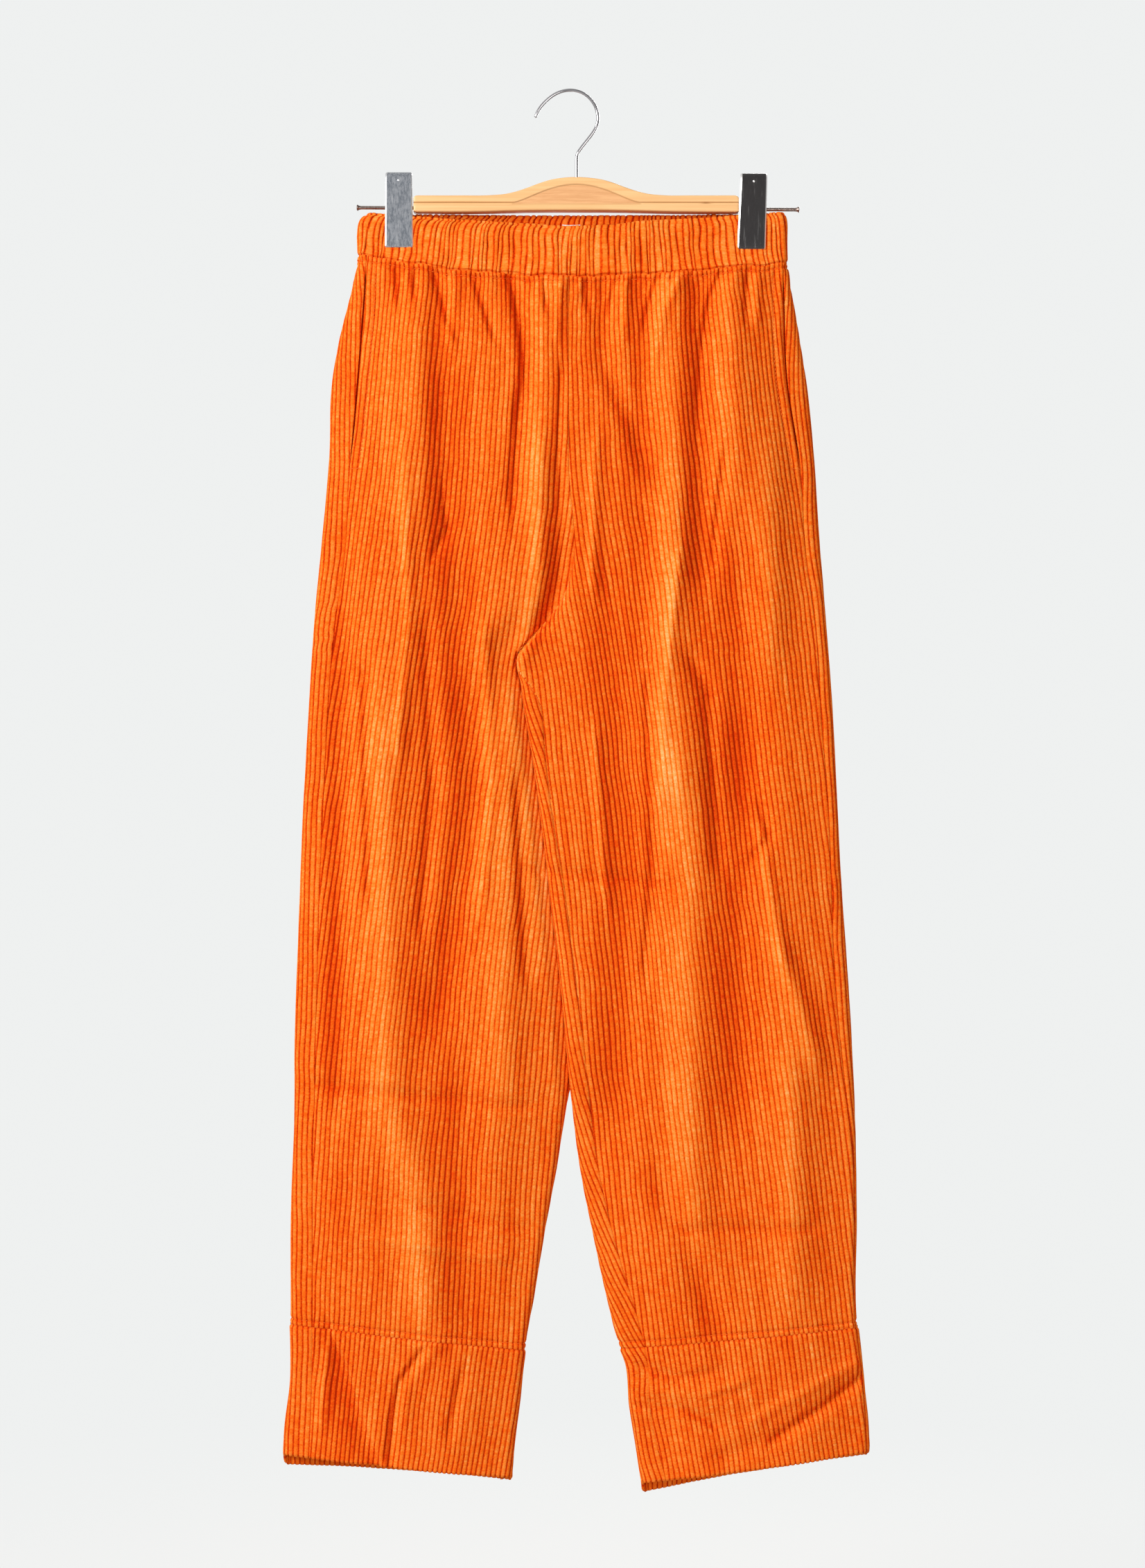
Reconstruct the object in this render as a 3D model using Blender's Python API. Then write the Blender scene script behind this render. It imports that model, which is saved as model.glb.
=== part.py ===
"""Wide-wale corduroy pull-on trousers hanging from a wooden clip hanger.

Lengths in the tables are millimetres.  x runs to the viewer's right, y runs
away from the viewer, and drop is the distance down from the rail that the hook
hangs on.  The finished meshes are in metres with +Z up, and the inside top of
the hook is at the origin.  Right and left in the names are the wearer's, so
the right leg is the one with negative x.

Every cloth piece is a wall worked out from level sections.  Above the fork one
section goes round both halves; below the crotch each leg has its own, and the
left leg hangs in front of the right one.
"""

import math

import bmesh
import bpy
import numpy as np

MM = 0.001
HOOK_SHIFT = 1.7        # puts the hook's inside top at x = 0
WALL = 1.7              # cloth of the legs
SEAM = 0.35             # between the pieces at a seam
EDGE = 6.5              # roundness of the side folds
CURL = 6.0              # roundness of the rolled crotch edge
TUCK = 2.0              # between the two legs where one lies on the other
FORK = 395.0            # the legs begin to cross
CROTCH = 451.7          # the four panels meet
WAIST = 149.0           # nominal waist seam
GATHERS = 78            # ridges across each side of the waistband
BAND_WALL = 2.8
CLIP_X = (-138.9, 143.6)

# Silhouette of the whole garment and how far it stands off its middle plane.
OUTLINE = (
    ("drop", "left", "right", "front", "back"),
    (
        (149, -171.0, 171.6, 11.0, 9.5),
        (177, -176.8, 176.4, 14.5, 13.0),
        (210, -185.8, 182.2, 17.5, 16.0),
        (243, -192.6, 187.8, 19.5, 18.0),
        (293, -194.8, 193.2, 20.5, 19.5),
        (360, -200.6, 197.8, 19.0, 19.5),
        (427, -207.0, 203.3, 16.0, 18.0),
        (493, -211.0, 208.3, 14.0, 15.5),
        (560, -215.0, 211.7, 13.5, 14.0),
        (627, -217.8, 215.0, 13.5, 13.5),
        (693, -220.4, 219.4, 13.5, 13.5),
        (760, -222.6, 223.6, 13.5, 13.5),
        (827, -222.8, 226.4, 13.0, 13.0),
        (910, -225.8, 227.8, 12.5, 12.5),
        (985, -225.8, 227.4, 12.0, 12.0),
        (1043, -226.0, 233.4, 12.5, 12.0),
        (1088, -231.0, 237.4, 13.5, 12.5),
        (1118, -232.0, 237.8, 14.0, 13.0),
    ),
)

# Inner edge of the left leg (in front) and inner fold of the right leg (behind).
INNER = (
    ("drop", "edge", "fold"),
    (
        (300, -2.8, -4.0),
        (395, -2.8, -4.0),
        (401, -4.8, -1.0),
        (415, -12.2, 7.0),
        (427, -22.0, 14.0),
        (437, -31.0, 19.0),
        (452, -43.0, 24.4),
        (478, -40.8, 25.4),
        (538, -31.4, 25.0),
        (593, -24.0, 23.6),
        (637, -18.9, 21.0),
        (724, -8.6, 12.0),
        (770, -4.4, 4.4),
        (810, -0.4, -4.6),
        (860, 6.1, -13.0),
        (910, 16.4, -22.8),
        (960, 27.6, -31.4),
        (993, 36.4, -37.6),
        (1010, 42.8, -39.6),
        (1043, 45.6, -42.4),
        (1088, 52.6, -47.0),
        (1118, 56.8, -48.6),
    ),
)

# Where the seams lie: x on the front for the first three, and for the right
# inseam the distance round the inner fold, negative on the front.
SEAMS = (
    ("drop", "right_outseam", "left_outseam", "left_inseam", "right_inseam"),
    (
        (149, -164.4, 168.6, -23.9, -68.0),
        (177, -166.6, 169.4, -23.9, -68.0),
        (236, -171.6, 171.6, -23.9, -68.0),
        (302, -177.8, 182.0, -23.9, -68.0),
        (369, -182.6, 186.4, -23.9, -68.0),
        (437, -190.8, 194.6, -23.9, -68.0),
        (499, -195.4, 198.6, -23.9, -58.0),
        (573, -199.2, 204.4, -17.2, -44.0),
        (637, -202.0, 207.0, -6.7, -32.0),
        (706, -203.8, 209.4, 1.7, -18.0),
        (757, -205.2, 213.6, 8.3, -9.0),
        (803, -205.8, 218.4, 13.4, -1.0),
        (843, -207.4, 223.8, 17.8, 5.0),
        (906, -207.8, 225.8, 31.1, 8.0),
        (983, -207.8, 226.0, 54.0, 10.0),
        (1009, -207.9, 227.6, 60.0, 11.0),
        (1046, -208.4, 232.4, 61.6, 12.0),
        (1107, -210.6, 235.4, 74.4, 12.0),
    ),
)

# How far the outer and inner ends of a level line sit below its nominal drop.
TILT = (
    ("drop", "right_outer", "right_inner", "left_inner", "left_outer", "rear"),
    (
        (700, 0.0, 0.0, 0.0, 0.0, 0.0),
        (850, -4.0, 4.0, 3.0, -3.0, 0.0),
        (999, -11.0, 9.6, 8.4, -8.4, 0.5),
        (1107, -15.6, 2.6, 7.0, -18.0, 6.0),
    ),
)

# Folds and creases: side, height (negative goes in), half-width, then the line
# as x and drop pairs.
FOLDS = (
    ("front", -3.6, 10, ((-106, 149), (-104, 349))),
    ("front", -7.5, 10, ((-49, 149), (-40, 198), (-38, 227), (-47, 320))),
    ("front", 4.0, 15, ((-124, 210), (-124, 322))),
    ("front", 4.4, 14, ((-24, 190), (-26, 443))),
    ("front", -3.4, 9, ((-184, 360), (-186, 600), (-187, 793))),
    ("front", 4.6, 22, ((-150, 500), (-146, 810), (-119, 880), (-118, 985))),
    ("front", -4.0, 15, ((-90, 260), (-90, 460), (-77, 556), (-90, 640), (-102, 716))),
    ("front", 3.8, 17, ((-53, 530), (-53, 765))),
    ("front", -2.4, 16, ((-88, 800), (-84, 960))),
    ("front", -4.6, 8, ((24, 150), (25, 222), (63, 306))),
    ("front", -3.6, 9, ((56, 160), (56, 275))),
    ("front", 4.8, 15, ((80, 160), (81, 540))),
    ("front", -5.6, 10, ((101, 165), (101, 240), (103, 374))),
    ("front", 3.6, 13, ((127, 160), (126, 300))),
    ("front", -3.4, 19, ((134, 396), (137, 540))),
    ("front", -3.2, 14, ((58, 288), (57, 443))),
    ("front", -3.4, 17, ((30, 400), (44, 600), (36, 793))),
    ("front", 3.4, 14, ((158, 305), (157, 430))),
    ("front", -3.2, 7, ((99, 465), (108, 480), (110, 526), (116, 610))),
    ("front", 4.4, 19, ((92, 560), (94, 893))),
    ("front", -3.8, 17, ((136, 540), (134, 793))),
    ("front", 3.2, 9, ((168, 695), (192, 768))),
    ("front", -3.2, 12, ((76, 882), (114, 985))),
    ("front", 3.6, 17, ((175, 790), (176, 930))),
    ("front", 3.2, 7, ((-117, 1010), (-134, 1031), (-136, 1054))),
    ("front", -3.0, 20, ((-181, 1034), (-180, 1107))),
    ("front", -3.2, 7, ((234, 1042), (169, 1080), (124, 1092))),
    ("front", 2.2, 7, ((50, 1047), (137, 1049))),
    ("rear", -4.4, 11, ((-121, 140), (-116, 330))),
    ("rear", 4.2, 15, ((-88, 160), (-84, 420))),
    ("rear", -5.0, 11, ((-55, 140), (-60, 290))),
    ("rear", 3.8, 14, ((-28, 165), (-31, 360))),
    ("rear", -4.2, 10, ((31, 140), (38, 260), (52, 352))),
    ("rear", 4.4, 15, ((66, 160), (70, 470))),
    ("rear", -5.2, 12, ((97, 140), (104, 390))),
    ("rear", 3.6, 14, ((131, 160), (134, 330))),
    ("rear", 4.2, 21, ((-139, 470), (-136, 800), (-128, 985))),
    ("rear", -3.8, 17, ((-96, 420), (-92, 640), (-101, 860))),
    ("rear", 3.4, 17, ((-48, 520), (-60, 820))),
    ("rear", -3.0, 12, ((-178, 560), (-181, 900))),
    ("rear", 3.8, 19, ((107, 560), (104, 900))),
    ("rear", -4.0, 17, ((146, 450), (142, 760))),
    ("rear", 3.2, 17, ((177, 700), (176, 960))),
    ("rear", -3.0, 14, ((63, 760), (88, 960))),
    ("rear", -2.8, 9, ((-206, 1046), (-150, 1082), (-96, 1086))),
    ("rear", 2.8, 11, ((118, 1016), (128, 1098))),
)

# Inner piece of the hook, from its tip round to the foot in the bar.
HOOK_LINE = (
    (-30.0, 21.1), (-27.0, 14.2), (-22.2, 8.4), (-15.6, 2.9), (-8.8, -0.2),
    (-1.7, -1.25), (6.2, 0.2), (13.0, 4.4), (18.2, 11.0), (20.6, 19.4),
    (20.1, 25.8), (17.6, 31.6), (12.6, 38.2), (7.4, 44.6), (4.4, 49.6),
    (3.3, 55.4), (3.3, 62.0), (3.3, 69.1),
)
WIRE = 2.5

# Nominal drops of the level lines that the meshes are made of.
TRUNK_ROWS = (
    148.9, 163, 181, 205, 234, 265, 300, 335, 366, 395, 404, 413, 422, 431, 439, 446,
)
LEG_ROWS = (459, 476, 500, 532, 570, 618, 668, 718, 766, 796, 826, 866, 910, 955, 998.4)
BAND_ROWS = (999.4, 1018, 1045, 1076, 1107)
FACING_ROWS = (158.5, 163, 181, 205, 234, 265, 300)
POCKET = (157.0, 303.0)     # top and bottom of the pocket slits

CORDUROY = (0.86, 0.17, 0.02)
LABEL_WHITE = (0.90, 0.90, 0.88)
WOOD = (0.80, 0.55, 0.30)
STEEL = (0.62, 0.62, 0.64)

# Wooden bar: x, top and bottom as drops, along its length.
BAR = (
    ("x", "top", "bottom"),
    (
        (-125.4, 86.4, 97.0), (-124.2, 85.0, 97.4), (-119.0, 84.4, 97.6),
        (-90.0, 84.4, 97.6), (-66.0, 84.2, 97.3), (-54.0, 83.2, 97.0),
        (-45.0, 81.2, 96.8), (-36.0, 78.2, 96.6), (-27.0, 74.8, 96.5),
        (-18.0, 72.0, 96.4), (-8.0, 70.3, 96.4), (3.3, 69.7, 96.4),
        (14.0, 70.3, 96.4), (24.0, 71.8, 96.4), (33.0, 74.4, 96.5),
        (42.0, 77.8, 96.6), (51.0, 80.8, 96.8), (60.0, 83.0, 97.0),
        (72.0, 84.2, 97.3), (96.0, 84.4, 97.6), (125.0, 84.4, 97.6),
        (130.2, 85.0, 97.4), (131.4, 86.4, 97.0),
    ),
)
BAR_FRONT, BAR_BACK, BAR_EASE = -6.2, 5.4, 1.4
ROD_Y, ROD_R = 4.4, 1.45
ROD_ENDS = ((-173.3, 92.4), (182.2, 93.9))
ROD_SLOT = 1.85         # half-height of the slot in the bar's back

# Clips: x and drop of the middle of the top and of the bottom, front face.
CLIP_WIDE, CLIP_PLATE, CLIP_GAP = (19.2, 21.0), 1.1, 6.2
CLIPS = (
    ("clip_right", (-139.1, 65.0), (-138.6, 125.6)),
    ("clip_left", (145.2, 65.9), (142.8, 127.0)),
)


def column(table, name):
    names, rows = table
    return np.array([row[names.index(name)] for row in rows], dtype=float)


def curve(table, name, at, key="drop"):
    """A smooth line through one column of a table, held level past its ends."""
    k, v = column(table, key), column(table, name)
    m = np.gradient(v, k)
    a = np.clip(np.asarray(at, dtype=float), k[0], k[-1])
    i = np.clip(np.searchsorted(k, a) - 1, 0, len(k) - 2)
    h = k[i + 1] - k[i]
    t = (a - k[i]) / h
    return (
        v[i] * (2 * t**3 - 3 * t**2 + 1) + m[i] * h * (t**3 - 2 * t**2 + t)
        + v[i + 1] * (3 * t**2 - 2 * t**3) + m[i + 1] * h * (t**3 - t**2)
    )


def ease(t):
    t = np.clip(t, 0.0, 1.0)
    return t * t * (3 - 2 * t)


def mix(a, b, t):
    return a + (b - a) * t


def round_off(s, reach):
    return np.sqrt(np.clip(1 - (1 - np.clip(s / reach, 0, 1)) ** 2, 0, 1))


def across(start, end, count=260):
    """Positions from start to end, close together near both."""
    return mix(start, end, (1 - np.cos(np.linspace(0, math.pi, count))) / 2)


def side_level(x, edge, level, inward):
    """A level that comes down to the edge roundness within 60 mm of a side."""
    return mix(EDGE, level, ease(inward * (x - edge) / 60))


def trunk_ring(drop):
    """The one section above the crotch, as points with sides and seam marks."""
    left, right = curve(OUTLINE, "left", drop), curve(OUTLINE, "right", drop)
    front, back = curve(OUTLINE, "front", drop), curve(OUTLINE, "back", drop)
    edge, fold = curve(INNER, "edge", drop), curve(INNER, "fold", drop)
    t = np.clip((drop - FORK) / (CROTCH - FORK), 0, 1)
    dip, step = ease((drop - FORK + 60) / 95), ease((drop - FORK + 120) / 120)
    seam_y = mix(-front, -1 - CURL, dip)
    under = mix(back - 9 * step, -1.0, t)
    last = mix(under, 2 * WALL + 0.7 - 1 - CURL, t**1.5)

    xa = across(left, edge - TUCK * t)
    la = -side_level(xa, left, front, 1)
    la = mix(la, seam_y, ease((xa - (edge - 45)) / 45))
    a = np.column_stack((xa, la * round_off(xa - left, EDGE)))

    xb = across(edge, right)
    lb = -side_level(xb, right, front, -1) * round_off(right - xb, EDGE)
    b = np.column_stack((xb, mix(seam_y, lb, round_off(xb - edge, CURL))))

    xc = across(right, edge)
    lc = side_level(xc, right, back, -1)
    lc = mix(lc, under, ease((max(fold, edge) + 75 - xc) / 75))
    lc = lc * round_off(right - xc, EDGE)
    c = np.column_stack((xc, mix(last, lc, round_off(xc - edge, CURL))))

    start = edge - TUCK * step
    fold = max(fold, start)
    tight = min(EDGE, (fold - start) / 2)
    hidden = under + 2.4 * step
    lean = 16 * (1 - step)
    turn = np.linspace(-math.pi / 2, math.pi / 2, 40)
    d = [
        np.column_stack((np.full(16, start), np.linspace(last, hidden, 16))),
        np.column_stack((np.linspace(start, fold - tight, 80)[1:], np.full(79, hidden))),
        np.column_stack((
            fold - tight + tight * np.cos(turn) - lean * (np.sin(turn) + 1) / 2,
            mix(hidden, back, (np.sin(turn) + 1) / 2),
        ))[1:],
    ]
    count = sum(len(p) for p in d)
    xd = across(fold - tight - lean, left)[1:]
    ld = side_level(xd, left, back, 1) * round_off(xd - left, EDGE)
    d = np.vstack(d + [np.column_stack((xd, ld))])

    tags = np.concatenate((
        -np.ones(len(a) + len(b)), np.ones(len(c)), np.zeros(count), np.ones(len(xd)),
    ))
    tags[len(a) + len(b):][: len(c)] *= 1 - step * (xc < fold + 12)
    points = np.vstack((a, b, c, d))
    marks = {
        "right_outseam": ("x", curve(SEAMS, "right_outseam", drop), 0, len(a)),
        "front_rise": ("i", len(a) - 0.5),
        "left_outseam": ("x", curve(SEAMS, "left_outseam", drop), len(a), len(a) + len(b)),
        "back_rise": ("i", len(a) + len(b) + len(c) - 0.5),
    }
    return finish_ring(points, tags, marks, drop)


def left_leg_ring(drop):
    """Section of the leg that hangs in front."""
    right, edge = curve(OUTLINE, "right", drop), curve(INNER, "edge", drop)
    front, back = curve(OUTLINE, "front", drop), curve(OUTLINE, "back", drop)
    fold = curve(INNER, "fold", drop)
    over = 1 - ease((drop - 770) / 80)
    x = across(edge, right)
    f = -side_level(x, right, front, -1)
    f = mix(-mix(EDGE, front, over), f, ease((x - edge) / 60))
    reach = mix(0.0, max(fold + 2 - edge, 0.0), over)
    r = side_level(x, right, back, -1)
    r = mix(mix(EDGE, -1.0, over), r, ease((x - edge - reach) / mix(60.0, 75.0, over)))
    rounded = round_off(np.minimum(x - edge, right - x), CURL)
    middle, half = (f + r) / 2, (r - f) / 2
    points = np.vstack((
        np.column_stack((x, middle - half * rounded)),
        np.column_stack((x, middle + half * rounded))[::-1][1:-1],
    ))
    tags = np.concatenate((-np.ones(len(x)), np.ones(len(x) - 2)))
    tags[len(x):] *= 1 - over * (x[::-1][1:-1] < fold + 12)
    blend = float(ease((drop - CROTCH) / 50))
    marks = {
        "left_inseam": ("x", curve(SEAMS, "left_inseam", drop), 0, len(x), blend),
        "left_outseam": ("x", curve(SEAMS, "left_outseam", drop), 0, len(x)),
    }
    return finish_ring(points, tags, marks, drop)


def right_leg_ring(drop):
    """Section of the leg that hangs behind."""
    left, fold = curve(OUTLINE, "left", drop), curve(INNER, "fold", drop)
    front, back = curve(OUTLINE, "front", drop), curve(OUTLINE, "back", drop)
    edge = curve(INNER, "edge", drop)
    over = 1 - ease((drop - 770) / 80)
    free = float(ease((drop - CROTCH) / 60))
    seam_y = mix(-1 - CURL, 1.0, free)
    x = across(left, fold)
    f = -side_level(x, left, front, 1)
    begin, end = mix(fold - 60, edge - 55, over), mix(fold, edge - TUCK, over)
    hidden = mix(-EDGE, mix(seam_y, 1.0, round_off(x - (edge - TUCK), CURL + TUCK)), over)
    f = mix(f, hidden, ease((x - begin) / (end - begin)))
    r = side_level(x, left, back, 1)
    r = mix(r, mix(EDGE, back, over), ease((x - fold + 60) / 60))
    rounded = round_off(np.minimum(x - left, fold - x), CURL)
    middle, half = (f + r) / 2, (r - f) / 2
    points = np.vstack((
        np.column_stack((x, middle - half * rounded)),
        np.column_stack((x, middle + half * rounded))[::-1][1:-1],
    ))
    tags = np.concatenate((-np.ones(len(x)), np.ones(len(x) - 2)))
    tags[: len(x)] *= 1 - over * (x > edge - 4)
    marks = {
        "right_outseam": ("x", curve(SEAMS, "right_outseam", drop), 0, len(x)),
        "right_inseam": (
            "d", curve(SEAMS, "right_inseam", drop), len(x) - 1,
            float(edge - TUCK), 1 - free,
        ),
    }
    return finish_ring(points, tags, marks, drop)


def lengths(points):
    return np.concatenate(
        ([0.0], np.cumsum(np.linalg.norm(np.diff(points, axis=0), axis=1)))
    )


def outward(points, spread):
    """Outward normals of a closed ring of points, from steps of 2 x spread."""
    t = np.roll(points, -spread, axis=0) - np.roll(points, spread, axis=0)
    t /= np.maximum(np.linalg.norm(t, axis=1, keepdims=True), 1e-9)
    return np.column_stack((t[:, 1], -t[:, 0]))


def fold_height(x, drop, side):
    """Sum of the folds of one side at points x of a level line."""
    total = np.zeros_like(x)
    for name, height, width, line in FOLDS:
        if name != side:
            continue
        best = np.full_like(x, 1e9)
        for k, ((x0, d0), (x1, d1)) in enumerate(zip(line, line[1:])):
            ux, ud = x1 - x0, d1 - d0
            size = math.hypot(ux, ud)
            along = ((x - x0) * ux + (drop - d0) * ud) / size
            away = ((x - x0) * ud - (drop - d0) * ux) / size
            before = 0.4 if k == 0 else 1.0
            after = 0.4 if k == len(line) - 2 else 1.0
            past = np.maximum(-along, 0) * before + np.maximum(along - size, 0) * after
            best = np.minimum(best, np.hypot(away, past))
        total += height * np.exp(-((best / width) ** 2))
    return total


def finish_ring(points, tags, marks, drop):
    """Even out a section, raise its folds, and find its seams along it."""
    loop = np.vstack((points, points[:1]))
    s = lengths(loop)
    spot = {}
    for name, mark in marks.items():
        if mark[0] == "i":
            spot[name] = np.interp(mark[1], np.arange(len(s)), s)
        elif mark[0] == "x":
            lo, hi = mark[2], mark[3]
            here = np.interp(mark[1], points[lo:hi, 0], s[lo:hi])
            spot[name] = here * (mark[4] if len(mark) > 4 else 1.0)
        else:
            turn = s[mark[2]]
            start = np.interp(mark[3], points[: mark[2] + 1, 0], s[: mark[2] + 1])
            spot[name] = mix(turn + mark[1], start, mark[4])
    total = s[-1]
    count = int(total / 0.7)
    even = np.arange(count) * total / count
    ring = np.column_stack([np.interp(even, s, loop[:, k]) for k in (0, 1)])
    side = np.interp(even, s, np.append(tags, tags[0]))
    kernel = np.exp(-((np.arange(-4, 5) * 0.7 / 1.3) ** 2))
    kernel /= kernel.sum()
    wide = np.exp(-((np.arange(-12, 13) * 0.7 / 5.0) ** 2))
    wide /= wide.sum()
    ring = np.column_stack([round_about(ring[:, k], kernel) for k in (0, 1)])
    side = round_about(side, wide)
    normal = outward(ring, 2)
    after, before = np.roll(normal, -1, axis=0), np.roll(normal, 1, axis=0)
    bend = np.abs(after[:, 0] * before[:, 1] - after[:, 1] * before[:, 0])
    bend = round_about(bend, wide)
    show = ease((np.abs(normal[:, 1]) - 0.45) / 0.5) * np.abs(side)
    height = np.where(
        side < 0,
        fold_height(ring[:, 0], drop, "front"),
        fold_height(ring[:, 0], drop, "rear"),
    )
    ring = ring + normal * (height * show)[:, None]
    inner = ring - outward(ring, 3) * WALL
    return {"outer": ring, "inner": inner, "side": side, "bend": bend,
            "step": total / count, "spot": spot, "drop": drop}


def round_about(values, kernel):
    pad = len(kernel) // 2
    return np.convolve(np.concatenate((values[-pad:], values, values[:pad])), kernel, "valid")


def pieces_between(ring, start, end, count, trim=(SEAM / 2, SEAM / 2)):
    """Columns of a panel between two seam marks of a ring, closer on bends."""
    total = len(ring["outer"])
    a = ring["spot"][start] / ring["step"] + trim[0] / ring["step"]
    b = ring["spot"][end] / ring["step"] - trim[1] / ring["step"]
    if b < a:
        b += total
    index = np.linspace(a, b, 400)
    turning = np.interp(
        index % total, np.arange(total + 1), np.append(ring["bend"], ring["bend"][0])
    )
    weight = 1 + 5.0 * turning / ring["step"]
    load = np.concatenate(([0.0], np.cumsum((weight[1:] + weight[:-1]) / 2)))
    picked = np.interp(np.linspace(0, load[-1], count), load, index) % total

    def take(name):
        values = np.vstack((ring[name], ring[name][:1]))
        return np.column_stack([
            np.interp(picked, np.arange(total + 1), values[:, k]) for k in (0, 1)
        ])

    return take("outer"), take("inner")


def waist_drop(x, y):
    """How far the waist seam lies below its nominal drop, front and back."""
    front = np.where(x < 0, -17.8, -11.8) * (x / 172) ** 2
    rear = -12.0 + np.where(x < 0, -5.6, 0.2) * (x / 172) ** 2
    return mix(front, rear, ease((y + 4) / 8))


def settle(points, drop, leg=None):
    """Points of a level line in space, with its sag at the waist and its tilt."""
    x, y = points[:, 0], points[:, 1]
    below = waist_drop(x, y) * (1 - ease((drop - WAIST) / 180))
    if leg and drop > 700:
        outer = curve(OUTLINE, "left" if leg == "right" else "right", drop)
        inner = curve(INNER, "fold" if leg == "right" else "edge", drop)
        share = np.clip((x - outer) / (inner - outer), 0, 1)
        below = below + mix(
            curve(TILT, leg + "_outer", drop), curve(TILT, leg + "_inner", drop), share
        )
        rear = curve(TILT, "rear", drop) * (0.4 + 0.6 * (1 - share if leg == "right" else share))
        below = below + rear * ease((y + 3) / 8)
    return np.column_stack((x, y, -(drop + below)))


def grid_solid(outer, inner):
    """Vertices and faces of a closed wall from two grids of points."""
    rows, cols = len(outer), len(outer[0])
    verts = [tuple(p) for grid in (outer, inner) for row in grid for p in row]
    back = rows * cols
    faces = []
    for r in range(rows - 1):
        for c in range(cols - 1):
            a, b = r * cols + c, r * cols + c + 1
            d, e = a + cols, b + cols
            faces.append((a, d, e, b))
            faces.append((back + a, back + b, back + e, back + d))
    for c in range(cols - 1):
        faces.append((c, c + 1, back + c + 1, back + c))
        low = (rows - 1) * cols + c
        faces.append((low, back + low, back + low + 1, low + 1))
    for r in range(rows - 1):
        a = r * cols
        faces.append((a, back + a, back + a + cols, a + cols))
        b = a + cols - 1
        faces.append((b, b + cols, back + b + cols, back + b))
    return verts, faces


def make_object(name, verts, faces, colour, rough=0.8, metal=0.0):
    """A mesh object from millimetre points, with its normals outwards."""
    mesh = bpy.data.meshes.new(name)
    mesh.from_pydata(
        [((x + HOOK_SHIFT) * MM, y * MM, z * MM) for x, y, z in verts], [], faces
    )
    work = bmesh.new()
    work.from_mesh(mesh)
    bmesh.ops.recalc_face_normals(work, faces=work.faces)
    work.to_mesh(mesh)
    work.free()
    mesh.update()
    finish = bpy.data.materials.new(name + "_finish")
    finish.use_nodes = True
    shader = finish.node_tree.nodes["Principled BSDF"]
    shader.inputs["Base Color"].default_value = (*colour, 1.0)
    shader.inputs["Roughness"].default_value = rough
    shader.inputs["Metallic"].default_value = metal
    mesh.materials.append(finish)
    thing = bpy.data.objects.new(name, mesh)
    bpy.context.scene.collection.objects.link(thing)
    return thing


def slit(drop):
    """How far the front edge of a pocket stands open at this drop."""
    t = (drop - POCKET[0]) / (POCKET[1] - POCKET[0])
    return 1.7 * math.sin(math.pi * t) ** 0.7 if 0 < t < 1 else 0.0


def ring_of(drop, leg):
    if drop <= CROTCH:
        return trunk_ring(drop)
    return right_leg_ring(drop) if leg == "right" else left_leg_ring(drop)


def panel_ends(side, leg, drop):
    """Names of the seams that a panel runs between, going round the section."""
    rise = drop <= CROTCH
    if side == "front":
        if leg == "right":
            return "right_outseam", "front_rise" if rise else "right_inseam"
        return "front_rise" if rise else "left_inseam", "left_outseam"
    if leg == "right":
        return "back_rise" if rise else "right_inseam", "right_outseam"
    return "left_outseam", "back_rise" if rise else "left_inseam"


def cloth_rows(side, leg, drops, count, grow=None):
    outer, inner = [], []
    for drop in drops:
        ring = dict(ring_of(drop, leg))
        if grow is not None:
            push = outward(ring["outer"], 3) * grow(drop)
            ring["outer"], ring["inner"] = ring["outer"] + push, ring["inner"] + push
        start, end = panel_ends(side, leg, drop)
        trim = [SEAM / 2, SEAM / 2]
        if side == "front":
            trim[0 if leg == "right" else 1] += slit(drop)
            trim[1 if leg == "right" else 0] += 0.4 * (FORK < drop <= CROTCH)
        a, b = pieces_between(ring, start, end, count, trim)
        outer.append(settle(a, drop, None if drop <= CROTCH else leg))
        inner.append(settle(b, drop, None if drop <= CROTCH else leg))
    return outer, inner


def make_panels():
    for leg in ("right", "left"):
        for side, count in (("front", 16), ("back", 23)):
            outer, inner = cloth_rows(side, leg, TRUNK_ROWS + LEG_ROWS, count)
            make_object(f"{side}_panel_{leg}", *grid_solid(outer, inner), CORDUROY)
        for side, count in (("front", 14), ("back", 20)):
            outer, inner = cloth_rows(
                side, leg, BAND_ROWS, count, lambda d: 1.0 * (1 - ease((d - 999) / 70))
            )
            make_object(f"hem_band_{side}_{leg}", *grid_solid(outer, inner), CORDUROY)


def make_facings():
    """Strips of cloth that close each pocket slit from inside."""
    for leg in ("right", "left"):
        outer, inner = [], []
        for drop in FACING_ROWS:
            ring = dict(trunk_ring(drop))
            normal = outward(ring["outer"], 3)
            ring["outer"], ring["inner"] = (
                ring["inner"] - normal * 0.8, ring["inner"] - normal * 1.8,
            )
            ring["spot"] = {
                "from": ring["spot"][f"{leg}_outseam"] - 11,
                "to": ring["spot"][f"{leg}_outseam"] + 11,
            }
            a, b = pieces_between(ring, "from", "to", 7)
            outer.append(settle(a, drop))
            inner.append(settle(b, drop))
        make_object(f"pocket_facing_{leg}", *grid_solid(outer, inner), CORDUROY)


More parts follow.
